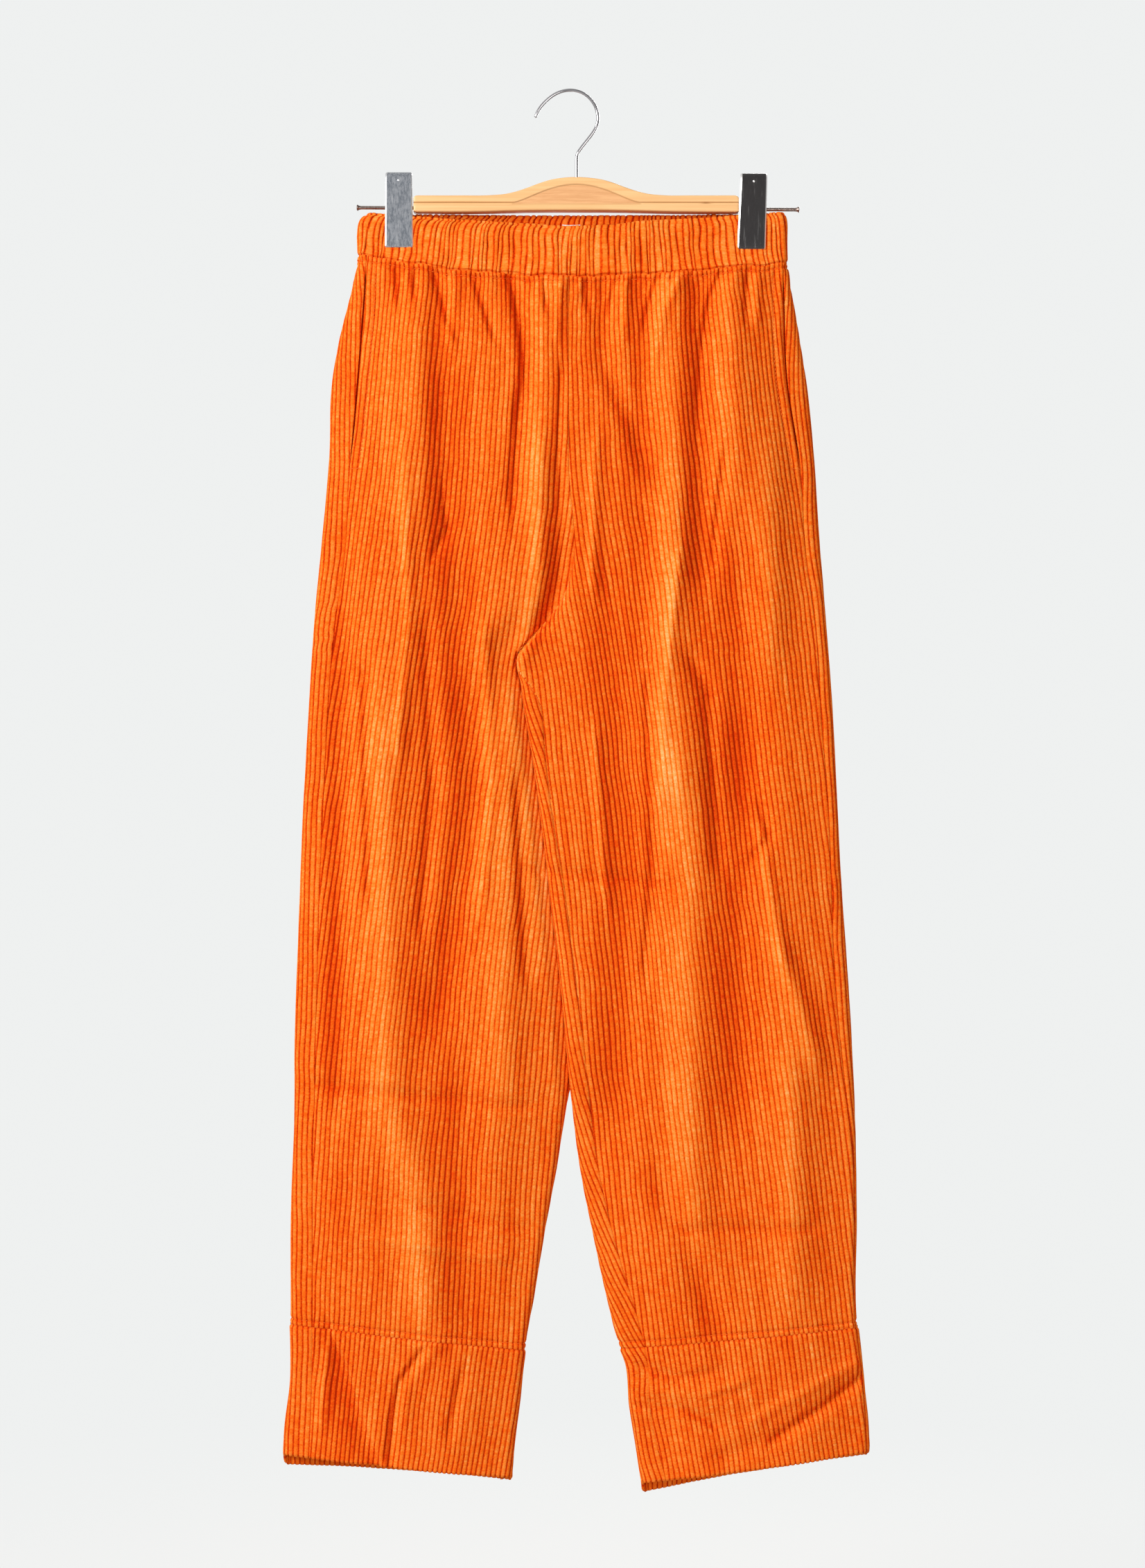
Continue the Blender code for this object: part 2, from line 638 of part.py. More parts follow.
def band_level(x, share, side):
    """Distance of the waistband from its middle plane, at a share of its height."""
    middle = (CLIP_X[0] + CLIP_X[1]) / 2
    half = (CLIP_X[1] - CLIP_X[0]) / 2
    opened = np.clip(1 - ((x - middle) / half) ** 2, 0, 1)
    pinched = 4.3 + (6.5 if side < 0 else 4.5) * opened
    left, right = curve(OUTLINE, "left", WAIST), curve(OUTLINE, "right", WAIST)
    depth = curve(OUTLINE, "front" if side < 0 else "back", WAIST)
    inner = np.minimum(side_level(x, left, depth, 1), side_level(x, right, depth, -1))
    return mix(pinched, inner, share**8)


def band_top(x, y):
    front = 109.2 - 11.0 * np.abs(x / 165) ** 1.4
    return mix(front, 98.9 + 0.0 * x, ease((y + 3) / 6))


def band_ring(share, count):
    """Outer and inner points round the waistband at a share of its height."""
    corner = 6.5 * (1 - round_off(np.array(share), 0.3))
    left = -171.0 + corner
    right = 171.6 - 0.4 * corner
    x = across(left, right, 400)
    reach = mix(4.5, EDGE, share**8)
    front = -band_level(x, share, -1) * round_off(np.minimum(x - left, right - x), reach)
    rear = band_level(x, share, 1) * round_off(np.minimum(x - left, right - x), reach)
    points = np.vstack((np.column_stack((x, front)), np.column_stack((x, rear))[::-1][1:-1]))
    s = lengths(np.vstack((points, points[:1])))
    loop = np.vstack((points, points[:1]))
    at = np.arange(count) * s[-1] / count
    plan = np.column_stack([np.interp(at, s, loop[:, k]) for k in (0, 1)])
    return plan, outward(plan, 1)


def make_waistband():
    count = 4 * GATHERS
    turn = np.arange(count) * 2 * math.pi / count
    uneven = 0.62 + 0.2 * np.sin(13 * turn) + 0.16 * np.sin(31 * turn + 1.0)
    ridge = np.where(np.arange(count) % 2 == 0, uneven, -0.35 * uneven)
    verts, rings = [], []
    for share, inside in ((0.0, False), (0.75, False), (1.0, False), (1.0, True), (0.0, True)):
        plan, normal = band_ring(share, count)
        lift = -BAND_WALL if inside else ridge * (0.55 + 0.45 * share)
        top = band_top(plan[:, 0], plan[:, 1])
        low = WAIST + waist_drop(plan[:, 0], plan[:, 1]) - 0.7
        z = -mix(top, low, share)
        plan = plan + normal * (lift[:, None] if not inside else lift)
        rings.append(len(verts))
        verts += [(x, y, h) for (x, y), h in zip(plan, z)]
    faces = []
    for a, b in zip(rings, rings[1:] + rings[:1]):
        for c in range(count):
            n = (c + 1) % count
            faces.append((a + c, b + c, b + n, a + n))
    make_object("waistband", verts, faces, CORDUROY)


def make_label():
    plan, normal = band_ring(0.35, 900)
    keep = [k for k in range(900) if plan[k, 1] > 0 and -8.6 < plan[k, 0] < 6.4]
    keep = [keep[0], keep[len(keep) // 3], keep[2 * len(keep) // 3], keep[-1]]
    outer, inner = [], []
    for drop in (104.5, 112.0, 120.0):
        for out, off in ((outer, BAND_WALL + 0.7), (inner, BAND_WALL + 1.3)):
            row = plan[keep] - normal[keep] * off
            out.append(np.column_stack((row, np.full(len(keep), -drop))))
    make_object("label", *grid_solid(outer, inner), LABEL_WHITE, 0.6)


def loft(sections):
    """Closed solid through closed sections that have the same number of points."""
    count = len(sections[0])
    verts = [tuple(p) for section in sections for p in section]
    faces = [tuple(range(count))[::-1], tuple(range(len(verts) - count, len(verts)))]
    for r in range(len(sections) - 1):
        for c in range(count):
            n = (c + 1) % count
            a = r * count
            faces.append((a + c, a + n, a + count + n, a + count + c))
    return verts, faces


def rod_drop(x):
    (x0, d0), (x1, d1) = ROD_ENDS
    return mix(d0, d1, (x - x0) / (x1 - x0))


def make_bar():
    sections = []
    k, s = BAR_BACK, ROD_SLOT
    deep = ROD_Y - ROD_R - 0.4
    for x in np.array([row[0] for row in BAR[1]]):
        top, low = curve(BAR, "top", x, "x"), curve(BAR, "bottom", x, "x")
        end = min(x - BAR[1][0][0], BAR[1][-1][0] - x)
        e = BAR_EASE * (0.45 + 0.55 * ease(end / 2.0))
        c = rod_drop(x)
        f = BAR_FRONT + 0.9 * (1 - ease(end / 2.0))
        section = (
            (f, top + e), (f + e, top), (k - e, top), (k, top + e),
            (k, c - s), (deep, c - s), (deep, c + s), (k, c + s),
            (k, low - 0.6 * e), (k - 0.6 * e, low), (f + e, low), (f, low - e),
        )
        sections.append([(x, y, -d) for y, d in section])
    make_object("hanger_bar", *loft(sections), WOOD, 0.5)


def round_section(centre, radius, sides, u, v):
    return [
        tuple(centre + radius * (math.cos(a) * u + math.sin(a) * v))
        for a in (2 * math.pi * (i + 0.5) / sides for i in range(sides))
    ]


def make_rod():
    sections = []
    (x0, _), (x1, _) = ROD_ENDS
    steps = (
        (x0, 2.2), (x0 + 0.5, 2.5), (x0 + 1.3, 2.4), (x0 + 2.2, ROD_R),
        (x1 - 2.2, ROD_R), (x1 - 1.3, 2.4), (x1 - 0.5, 2.5), (x1, 2.2),
    )
    for x, radius in steps:
        centre = np.array((x, ROD_Y, -rod_drop(x)))
        sections.append(
            round_section(centre, radius, 12, np.array((0, 1, 0)), np.array((0, 0, 1)))
        )
    make_object("hanger_rod", *loft(sections), STEEL, 0.25, 1.0)


def make_hook():
    line = np.array(HOOK_LINE)
    line[:, 1] *= -1
    for _ in range(2):
        cut = [line[0]]
        for a, b in zip(line, line[1:]):
            cut += [mix(a, b, 0.25), mix(a, b, 0.75)]
        line = np.array(cut + [line[-1]])
    s = lengths(line)
    at = np.linspace(0, s[-1], 42)
    path = np.column_stack([np.interp(at, s, line[:, k]) for k in (0, 1)])
    tangent = np.gradient(path, axis=0)
    tangent /= np.linalg.norm(tangent, axis=1, keepdims=True)
    sections = []
    for k, (p, t) in enumerate(zip(path, tangent)):
        centre = np.array((p[0], 0.0, p[1]))
        across_it = np.array((t[1], 0.0, -t[0]))
        radius = WIRE / 2 * (0.6 if k == 0 else 1.0)
        if k == 1:
            centre = np.array((path[0][0] + 0.6 * t[0], 0.0, path[0][1] + 0.6 * t[1]))
        sections.append(
            round_section(centre, radius, 8, np.array((0.0, 1.0, 0.0)), across_it)
        )
    make_object("hanger_hook", *loft(sections), STEEL, 0.15, 1.0)


def make_clips():
    """Each clip is one folded plate with its two jaws and the rod between them."""
    for name, (x0, d0), (x1, d1) in CLIPS:
        g, p = CLIP_GAP, CLIP_PLATE
        bend = d0 + g + p
        outer = [(-(g + p), d1), (-(g + p), bend)]
        inner = [(-g, d1), (-g, bend)]
        for k in range(1, 8):
            a = math.pi * k / 8
            outer.append((-(g + p) * math.cos(a), bend - (g + p) * math.sin(a)))
            inner.append((-g * math.cos(a), bend - g * math.sin(a)))
        outer += [(g + p, bend), (g + p, d1 - 2.0)]
        inner += [(g, bend), (g, d1 - 2.0)]
        profile = outer + inner[::-1]
        sections = []
        for edge in (-0.5, 0.5):
            section = []
            for y, d in profile:
                t = (d - d0) / (d1 - d0)
                x = mix(x0, x1, t) + edge * mix(CLIP_WIDE[0], CLIP_WIDE[1], t)
                section.append((x, y, -d))
            sections.append(section)
        make_object(name, *loft(sections), STEEL, 0.2, 1.0)


def main():
    for thing in list(bpy.data.objects):
        bpy.data.objects.remove(thing, do_unlink=True)
    make_waistband()
    make_panels()
    make_facings()
    make_label()
    make_bar()
    make_rod()
    make_hook()
    make_clips()


main()
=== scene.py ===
"""Wide-wale corduroy pull-on trousers on a wooden clip hanger, dressed for the render.

The cloth is sewn from sheets that are shaped on level sections of the garment,
with every wale raised, the seams rolled in and the topstitching laid on.  The
hanger's bar, clips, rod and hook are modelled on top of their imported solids.
Lengths in the tables are millimetres: x runs to the viewer's right, y away from
the viewer, and drop is the distance down from the rail that the hook hangs on.
Right and left are the wearer's.
"""

import logging
import math
from dataclasses import dataclass
from enum import Enum
from typing import Any, Dict, List, Optional, Sequence, Tuple

import bmesh
import bpy
import numpy as np
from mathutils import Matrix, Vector


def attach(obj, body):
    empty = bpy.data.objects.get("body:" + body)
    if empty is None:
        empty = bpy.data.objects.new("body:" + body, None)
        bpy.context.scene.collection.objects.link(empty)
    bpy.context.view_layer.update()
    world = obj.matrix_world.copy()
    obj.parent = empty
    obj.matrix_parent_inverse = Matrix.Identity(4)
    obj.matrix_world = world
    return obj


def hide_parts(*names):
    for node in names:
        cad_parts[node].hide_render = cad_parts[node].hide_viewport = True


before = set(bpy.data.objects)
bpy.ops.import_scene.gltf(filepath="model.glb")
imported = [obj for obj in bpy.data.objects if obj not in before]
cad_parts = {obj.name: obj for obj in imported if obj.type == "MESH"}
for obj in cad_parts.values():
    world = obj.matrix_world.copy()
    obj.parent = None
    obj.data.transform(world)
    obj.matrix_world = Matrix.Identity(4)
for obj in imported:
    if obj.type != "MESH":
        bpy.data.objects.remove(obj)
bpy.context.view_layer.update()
LOG = logging.getLogger("trousers")

MM = 0.001  # metres in a millimetre
HOOK_SHIFT = 1.7  # from the tables' x to the frame's, whose origin is under the hook
FORK = 395.0  # drop where the left leg starts to lap over the right one
CROTCH = 451.7  # drop where the trunk ends and each leg has a section of its own
WAIST = 149.0  # drop of the waist seam
PITCH = 4.1  # one wale and its groove, across
EDGE = 6.5  # how far in from a side the garment rounds over
CURL = 6.0  # the same at the lapped edge of the left leg
TUCK = 0.9  # how far the cloth below turns in under that edge
SLIT_TOP, SLIT_FOOT = 157.0, 303.0  # drops where the pocket's slit starts and ends
CLIP_X = (-138.9, 143.6)  # middles of the two clips at the waistband
WAIST_STITCH = 4.2  # from the waist seam down to its topstitching
HEM_STITCH = 4.9  # from the hem band's seam up to its topstitching
POCKET_STITCH = 7.8  # from the pocket's edge in to its topstitching
SEAM_GAP = 0.06  # left between two panels at their seam
ROD = ((-173.3, 92.4), (182.2, 93.9))  # x and drop of the rod's two ends
ROD_Y = 4.4  # how far back the rod lies
ROD_RADIUS = 1.45

Array = np.ndarray
Thing = bpy.types.Object
Finish = bpy.types.Material
Colour = Tuple[float, float, float]
Point = Tuple[float, float]
Place = Tuple[float, float, float]
Line = Tuple[Array, Array]  # points and the outward normal at each


class Leg(Enum):
    """The wearer's side that a piece belongs to."""

    RIGHT = "right"
    LEFT = "left"


class Face(Enum):
    """The side of the garment that a piece lies on."""

    FRONT = "front"
    BACK = "back"


# Small numeric helpers


def ease(t: Any) -> Any:
    """Smooth step from 0 to 1."""
    t = np.clip(t, 0.0, 1.0)
    return t * t * (3 - 2 * t)


def mix(a: Any, b: Any, t: Any) -> Any:
    """Straight blend from a to b."""
    return a + (b - a) * t


def bell(distance: Any, width: float) -> Any:
    """Bell curve that is 1 at no distance."""
    return np.exp(-((distance / width) ** 2))


def round_off(s: Any, reach: Any) -> Any:
    """Quarter circle that rises from 0 to 1 within reach."""
    return np.sqrt(np.clip(1 - (1 - np.clip(s / reach, 0, 1)) ** 2, 0, 1))


def across(start: float, end: float, count: int = 300) -> Array:
    """Positions from start to end, close together near both."""
    return mix(start, end, (1 - np.cos(np.linspace(0, math.pi, count))) / 2)


def lengths(points: Array) -> Array:
    """Running length along a line of points."""
    steps = np.linalg.norm(np.diff(points, axis=0), axis=1)
    return np.concatenate(([0.0], np.cumsum(steps)))


def columns(*parts: Array) -> Array:
    """Columns of numbers, or points, side by side."""
    return np.column_stack(parts)


def read_line(points: Array, run: Array, at: Any) -> Array:
    """Points at lengths along a line, given the running length at each of its points."""
    return columns(*(np.interp(at, run, column) for column in points.T))


def read_ring(values: Array, spot: Array) -> Array:
    """Values of a closed ring at places counted in its points."""
    wrapped = np.concatenate((values, values[:1]))
    if wrapped.ndim == 1:
        return np.interp(spot, np.arange(len(wrapped)), wrapped)
    return read_line(wrapped, np.arange(len(wrapped)), spot)


def pad_ends(values: Array, before: int = 3, after: int = 3) -> Array:
    """Rows with the first and the last one repeated past the ends."""
    return np.pad(values, ((before, after),) + ((0, 0),) * (values.ndim - 1), mode="edge")


def smooth_ring(values: Array, reach: float, step: float) -> Array:
    """Values round a closed ring, blurred by a bell of that reach."""
    half = max(1, int(3 * reach / step))
    kernel = bell(np.arange(-half, half + 1) * step, reach)
    kernel /= kernel.sum()
    wrapped = np.concatenate((values[-half:], values, values[:half]))
    return np.convolve(wrapped, kernel, "valid")


def outward(points: Array, spread: int) -> Array:
    """Outward normals of a closed ring of points."""
    t = np.roll(points, -spread, axis=0) - np.roll(points, spread, axis=0)
    t /= np.maximum(np.linalg.norm(t, axis=1, keepdims=True), 1e-9)
    return columns(t[:, 1], -t[:, 0])


class Drift:
    """Repeatable smooth random lines and patches."""

    def __init__(self, seed: int) -> None:
        """Seeds the table of values."""
        self.values = np.random.RandomState(seed).uniform(-1, 1, 4096)

    def line(self, at: Array) -> Array:
        """Smooth noise from -1 to 1 along one coordinate."""
        at = np.asarray(at, dtype=float)
        low = np.floor(at).astype(int)
        t = ease(at - low)
        return mix(self.values[low % 4096], self.values[(low + 1) % 4096], t)

    def patch(self, a: Array, b: Array) -> Array:
        """Smooth noise from -1 to 1 over two coordinates."""
        a, b = np.broadcast_arrays(np.asarray(a, float), np.asarray(b, float))
        i, j = np.floor(a).astype(int), np.floor(b).astype(int)
        u, v = ease(a - i), ease(b - j)

        def at(di: int, dj: int) -> Array:
            """The value at a corner of each place's cell."""
            return self.values[((i + di) * 127 + (j + dj) * 311) % 4096]

        return mix(mix(at(0, 0), at(1, 0), u), mix(at(0, 1), at(1, 1), u), v)


class Table:
    """A short table with named columns, read as smooth lines."""

    def __init__(self, names: str, *rows: Tuple[float, ...]) -> None:
        """Keeps the names, which spaces part, and the rows."""
        self.names, self.rows = names.split(), rows

    def column(self, name: str) -> Array:
        """One column as numbers."""
        return np.array([row[self.names.index(name)] for row in self.rows], float)

    def read(self, where: Any) -> List[Any]:
        """Every column but the first, at a value of the first."""
        return [self.at(name, where) for name in self.names[1:]]

    def at(self, name: str, where: Any) -> Any:
        """The smooth line through a column, level past its ends.

        Args:
            name: the column that is read.
            where: the value or values of the first column.

        Returns:
            The column's value there.
        """
        k, v = self.column(self.names[0]), self.column(name)
        m = np.gradient(v, k)
        a = np.clip(np.asarray(where, float), k[0], k[-1])
        i = np.clip(np.searchsorted(k, a) - 1, 0, len(k) - 2)
        h = k[i + 1] - k[i]
        t = (a - k[i]) / h
        return (
            v[i] * (2 * t**3 - 3 * t**2 + 1)
            + m[i] * h * (t**3 - 2 * t**2 + t)
            + v[i + 1] * (3 * t**2 - 2 * t**3)
            + m[i + 1] * h * (t**3 - t**2)
        )


# The garment's measured lines

OUTLINE = Table(
    "drop left right front back",
    (149, -171.0, 171.6, 11.0, 9.5), (177, -176.8, 176.4, 14.5, 13.0),
    (210, -185.8, 182.2, 17.5, 16.0), (243, -192.6, 187.8, 19.5, 18.0),
    (293, -194.8, 193.2, 20.5, 19.5), (360, -200.6, 197.8, 19.0, 19.5),
    (427, -207.0, 203.3, 16.0, 18.0), (493, -211.0, 208.3, 14.0, 15.5),
    (560, -215.0, 211.7, 13.5, 14.0), (627, -217.8, 215.0, 13.5, 13.5),
    (693, -220.4, 219.4, 13.5, 13.5), (760, -222.6, 223.6, 13.5, 13.5),
    (827, -222.8, 226.4, 13.0, 13.0), (910, -225.8, 227.8, 12.5, 12.5),
    (985, -225.8, 227.4, 12.0, 12.0), (1043, -226.0, 233.4, 12.5, 12.0),
    (1088, -231.0, 237.4, 13.5, 12.5), (1118, -232.0, 237.8, 14.0, 13.0),
)
INNER = Table(
    "drop edge fold",
    (300, -2.8, -4.0), (395, -2.8, -4.0), (401, -4.8, -1.0),
    (415, -12.2, 7.0), (427, -22.0, 14.0), (437, -31.0, 19.0),
    (452, -43.0, 24.4), (478, -40.8, 25.4), (538, -31.4, 25.0),
    (593, -24.0, 23.6), (637, -18.9, 21.0), (724, -8.6, 12.0),
    (770, -4.4, 4.4), (810, -0.4, -4.6), (860, 6.1, -13.0),
    (910, 16.4, -22.8), (960, 27.6, -31.4), (993, 36.4, -37.6),
    (1010, 42.8, -39.6), (1043, 45.6, -42.4), (1088, 52.6, -47.0),
    (1118, 56.8, -48.6),
)
SEAMS = Table(
    "drop right_outseam left_outseam left_inseam right_inseam",
    (149, -164.4, 168.6, -23.9, -68.0), (177, -166.6, 169.4, -23.9, -68.0),
    (236, -171.6, 171.6, -23.9, -68.0), (302, -177.8, 182.0, -23.9, -68.0),
    (369, -182.6, 186.4, -23.9, -68.0), (437, -190.8, 194.6, -23.9, -68.0),
    (499, -195.4, 198.6, -23.9, -58.0), (573, -199.2, 204.4, -17.2, -44.0),
    (637, -202.0, 207.0, -6.7, -32.0), (706, -203.8, 209.4, 1.7, -18.0),
    (757, -205.2, 213.6, 8.3, -9.0), (803, -205.8, 218.4, 13.4, -1.0),
    (843, -207.4, 223.8, 17.8, 5.0), (906, -207.8, 225.8, 31.1, 8.0),
    (983, -207.8, 226.0, 54.0, 10.0), (1009, -207.9, 227.6, 60.0, 11.0),
    (1046, -208.4, 232.4, 61.6, 12.0), (1107, -210.6, 235.4, 74.4, 12.0),
)
TILT = Table(
    "drop right_outer right_inner left_inner left_outer rear",
    (700, 0.0, 0.0, 0.0, 0.0, 0.0), (850, -4.0, 4.0, 3.0, -3.0, 0.0),
    (999, -11.0, 9.6, 8.4, -8.4, 0.5), (1107, -15.6, 2.6, 7.0, -18.0, 9.6),
)

# The line that the wales run along in each leg, and how far they are spread.
GRAIN = Table(
    "drop right left spread",
    (149, -96.0, 84.0, 0.89), (200, -99.0, 87.0, 0.93),
    (260, -103.5, 92.0, 0.97), (320, -109.0, 99.0, 1.0),
    (400, -120.0, 110.0, 1.0), (500, -134.0, 122.5, 1.0),
    (600, -148.0, 134.5, 1.0), (700, -160.5, 147.0, 1.0),
    (850, -174.0, 166.5, 1.0), (999, -182.5, 185.0, 1.0),
)
BAND_GRAIN = Table(
    "drop right left right_spread left_spread",
    (999, -120.0, 150.0, 1.0, 1.0), (1050, -125.4, 157.0, 0.98, 0.99),
    (1107, -131.5, 165.5, 0.955, 0.975),
)


@dataclass(frozen=True)
class Crease:
    """One fold: height out of the cloth, widths before and past its line, and the line."""

    side: Face
    height: float
    width: float
    other: float
    line: Tuple[Point, ...]


def creases(side: Face, *rows: Tuple[float, ...]) -> Tuple[Crease, ...]:
    """Creases of one side, each from its height, its two widths and its line's x and drops."""
    return tuple(Crease(side, *row[:3], tuple(zip(row[3::2], row[4::2]))) for row in rows)


# Folds of a hand's breadth, and of the hem bands.
FOLDS = creases(
    Face.FRONT,
    (-3.6, 10, 10, -106, 149, -104, 349), (-5.6, 5.0, 9.0, -49, 149, -40, 198, -38, 227, -47, 320),
    (4.0, 15, 15, -124, 210, -124, 322), (4.4, 14, 14, -24, 190, -25, 300),
    (4.6, 8.5, 8.5, -25, 300, -27, 400, -38, 440), (-2.2, 5.5, 5.5, -10, 320, -10, 390, -22, 428),
    (-3.4, 9, 9, -184, 360, -186, 600, -187, 793),
    (4.4, 18, 18, -150, 500, -146, 810, -121, 880, -117, 950),
    (-4.0, 15, 15, -90, 260, -90, 460, -77, 556, -90, 640, -102, 716),
    (3.8, 17, 17, -53, 530, -53, 765), (-2.4, 16, 16, -88, 800, -84, 960),
    (-4.6, 8, 8, 24, 150, 25, 222, 63, 306), (-3.6, 9, 9, 56, 160, 56, 275),
    (4.8, 15, 15, 80, 160, 81, 540), (-5.6, 10, 10, 101, 165, 101, 240, 103, 374),
    (3.6, 13, 13, 127, 160, 126, 300), (-3.4, 19, 19, 134, 396, 137, 540),
    (-3.2, 14, 14, 58, 288, 57, 443), (-3.4, 17, 17, 30, 400, 44, 600, 36, 793),
    (3.4, 14, 14, 158, 305, 157, 430), (-3.2, 7, 7, 99, 465, 108, 480, 110, 526, 116, 610),
    (4.4, 19, 19, 92, 560, 94, 893), (-3.8, 17, 17, 136, 540, 134, 793),
    (3.2, 9, 9, 168, 695, 192, 768), (-3.2, 12, 12, 76, 882, 114, 985),
    (3.6, 17, 17, 175, 790, 176, 930), (3.2, 7, 7, -117, 1010, -134, 1031, -136, 1054),
    (-3.0, 20, 20, -181, 1034, -180, 1107), (-3.2, 7, 7, 234, 1042, 169, 1080, 124, 1092),
    (2.2, 7, 7, 50, 1047, 137, 1049),
) + creases(
    Face.BACK,
    (-4.4, 11, 11, -121, 140, -116, 330), (4.2, 15, 15, -88, 160, -84, 420),
    (-5.0, 11, 11, -55, 140, -60, 290), (3.8, 14, 14, -28, 165, -31, 360),
    (-4.2, 10, 10, 31, 140, 38, 260, 52, 352), (4.4, 15, 15, 66, 160, 70, 470),
    (-5.2, 12, 12, 97, 140, 104, 390), (3.6, 14, 14, 131, 160, 134, 330),
    (4.2, 21, 21, -139, 470, -136, 800, -128, 985), (-3.8, 17, 17, -96, 420, -92, 640, -101, 860),
    (3.4, 17, 17, -48, 520, -60, 820), (-3.0, 12, 12, -178, 560, -181, 900),
    (3.8, 19, 19, 107, 560, 104, 900), (-4.0, 17, 17, 146, 450, 142, 760),
    (3.2, 17, 17, 177, 700, 176, 960), (-3.0, 14, 14, 63, 760, 88, 960),
    (-2.8, 9, 9, -206, 1046, -150, 1082, -96, 1086), (2.8, 11, 11, 118, 1016, 128, 1098),
)

# Smaller creases, laid over the folds.
CREASES = creases(
    Face.FRONT,
    # under the waistband, right half
    (-1.8, 3.0, 5.0, -141, 148, -139, 176), (-1.6, 2.6, 4.0, -128, 148, -126, 170),
    (-2.6, 2.6, 6.0, -112, 150, -107, 166, -99, 190), (1.6, 3.6, 5.0, -94, 152, -97, 200),
    (-1.8, 2.6, 5.0, -80, 150, -74, 168, -64, 196),
    (-2.4, 2.0, 5.0, -51, 150, -46, 172, -41, 200, -39, 228, -45, 262),
    (-1.5, 2.4, 4.0, -24, 151, -21, 172), (1.4, 3.0, 4.0, -10, 153, -12, 196),
    (-1.4, 2.2, 4.0, -9, 230, -12, 300),
    # under the waistband, left half
    (-1.8, 2.4, 4.0, 10, 151, 12, 170), (-1.6, 2.4, 4.0, 35, 151, 30, 174),
    (1.5, 3.2, 4.0, 44, 152, 41, 196), (-2.2, 2.4, 5.0, 71, 148, 66, 160, 58, 186),
    (1.6, 3.0, 5.0, 86, 150, 72, 180, 66, 214), (-2.6, 2.6, 7.0, 121, 146, 110, 172, 102, 214, 98, 260),
    (-1.4, 2.4, 4.0, 141, 148, 138, 186), (1.3, 3.2, 4.0, 148, 150, 147, 190),
    # thigh and knee
    (-1.8, 2.6, 5.0, -103, 330, -99, 352, -108, 366), (1.7, 5.0, 7.0, -134, 300, -130, 420, -138, 520),
    (-1.5, 5.0, 7.0, -116, 440, -112, 560, -120, 660), (1.5, 5.0, 6.0, -70, 440, -66, 560, -72, 640),
    (-1.4, 4.0, 6.0, -166, 470, -162, 640), (-1.3, 4.0, 6.0, -44, 560, -38, 700),
    (1.6, 4.0, 6.0, 18, 290, 16, 392), (-1.6, 3.0, 5.0, 120, 300, 112, 372),
    (1.6, 5.0, 6.0, 84, 380, 72, 480, 70, 560), (-1.6, 3.0, 5.0, 151, 577, 157, 597, 147, 609),
    (1.5, 4.0, 6.0, 150, 600, 166, 690), (-1.5, 4.0, 6.0, 60, 480, 64, 620, 58, 700),
    (1.2, 4.0, 6.0, 18, 520, 26, 640), (-1.7, 3.0, 6.0, -24, 626, 76, 636),
    (-1.7, 2.6, 5.0, 95, 910, 187, 914), (-1.8, 2.6, 5.0, -196, 800, -120, 806, -40, 812),
    (-1.5, 2.6, 5.0, -120, 892, -40, 906), (1.5, 3.4, 5.0, -150, 920, -60, 928),
    # hem bands
    (-2.2, 3.0, 5.0, -123, 1012, -138, 1036, -143, 1066, -146, 1098),
    (-3.1, 13.0, 2.2, -183, 1026, -173, 1060, -157, 1102), (1.2, 4.0, 5.0, -196, 1018, -200, 1072),
    (-1.1, 3.6, 5.0, -90, 1030, -98, 1070), (1.3, 4.0, 6.0, 220, 1030, 150, 1062),
    (-1.9, 2.2, 4.5, 236, 1038, 204, 1060, 164, 1082), (-1.8, 2.4, 3.6, 52, 1046, 92, 1052, 112, 1066),
    (-1.8, 2.4, 4.0, 58, 1016, 84, 1026, 110, 1024), (1.6, 3.4, 5.0, 64, 1034, 104, 1040, 132, 1034),
) + creases(
    Face.BACK,
    (-2.2, 2.6, 5.0, -100, 140, -92, 176), (1.6, 3.4, 5.0, -70, 142, -72, 190),
    (-1.9, 2.4, 5.0, -40, 140, -46, 176), (-2.0, 2.4, 4.0, 14, 140, 18, 182),
    (1.6, 3.4, 5.0, 50, 142, 52, 196), (-2.2, 2.6, 5.0, 82, 140, 90, 186),
    (-1.8, 2.6, 5.0, 118, 142, 116, 178), (-1.8, 2.6, 4.0, 150, 142, 150, 172),
    (1.6, 5.0, 7.0, -110, 500, -106, 640), (-1.6, 4.0, 6.0, -160, 600, -156, 780),
    (1.5, 4.0, 6.0, -70, 640, -80, 820), (-1.7, 3.0, 6.0, 126, 600, 132, 624, 124, 650),
    (1.5, 5.0, 6.0, 80, 500, 84, 660), (-1.4, 4.0, 6.0, 160, 560, 166, 740),
    (-1.2, 4.0, 6.0, -200, 880, -110, 892), (-1.2, 4.0, 6.0, 90, 900, 200, 888),
    (-1.8, 3.0, 5.0, -190, 1020, -150, 1048, -132, 1090),
    (-1.7, 3.0, 5.0, 200, 1016, 176, 1056, 170, 1100),
)


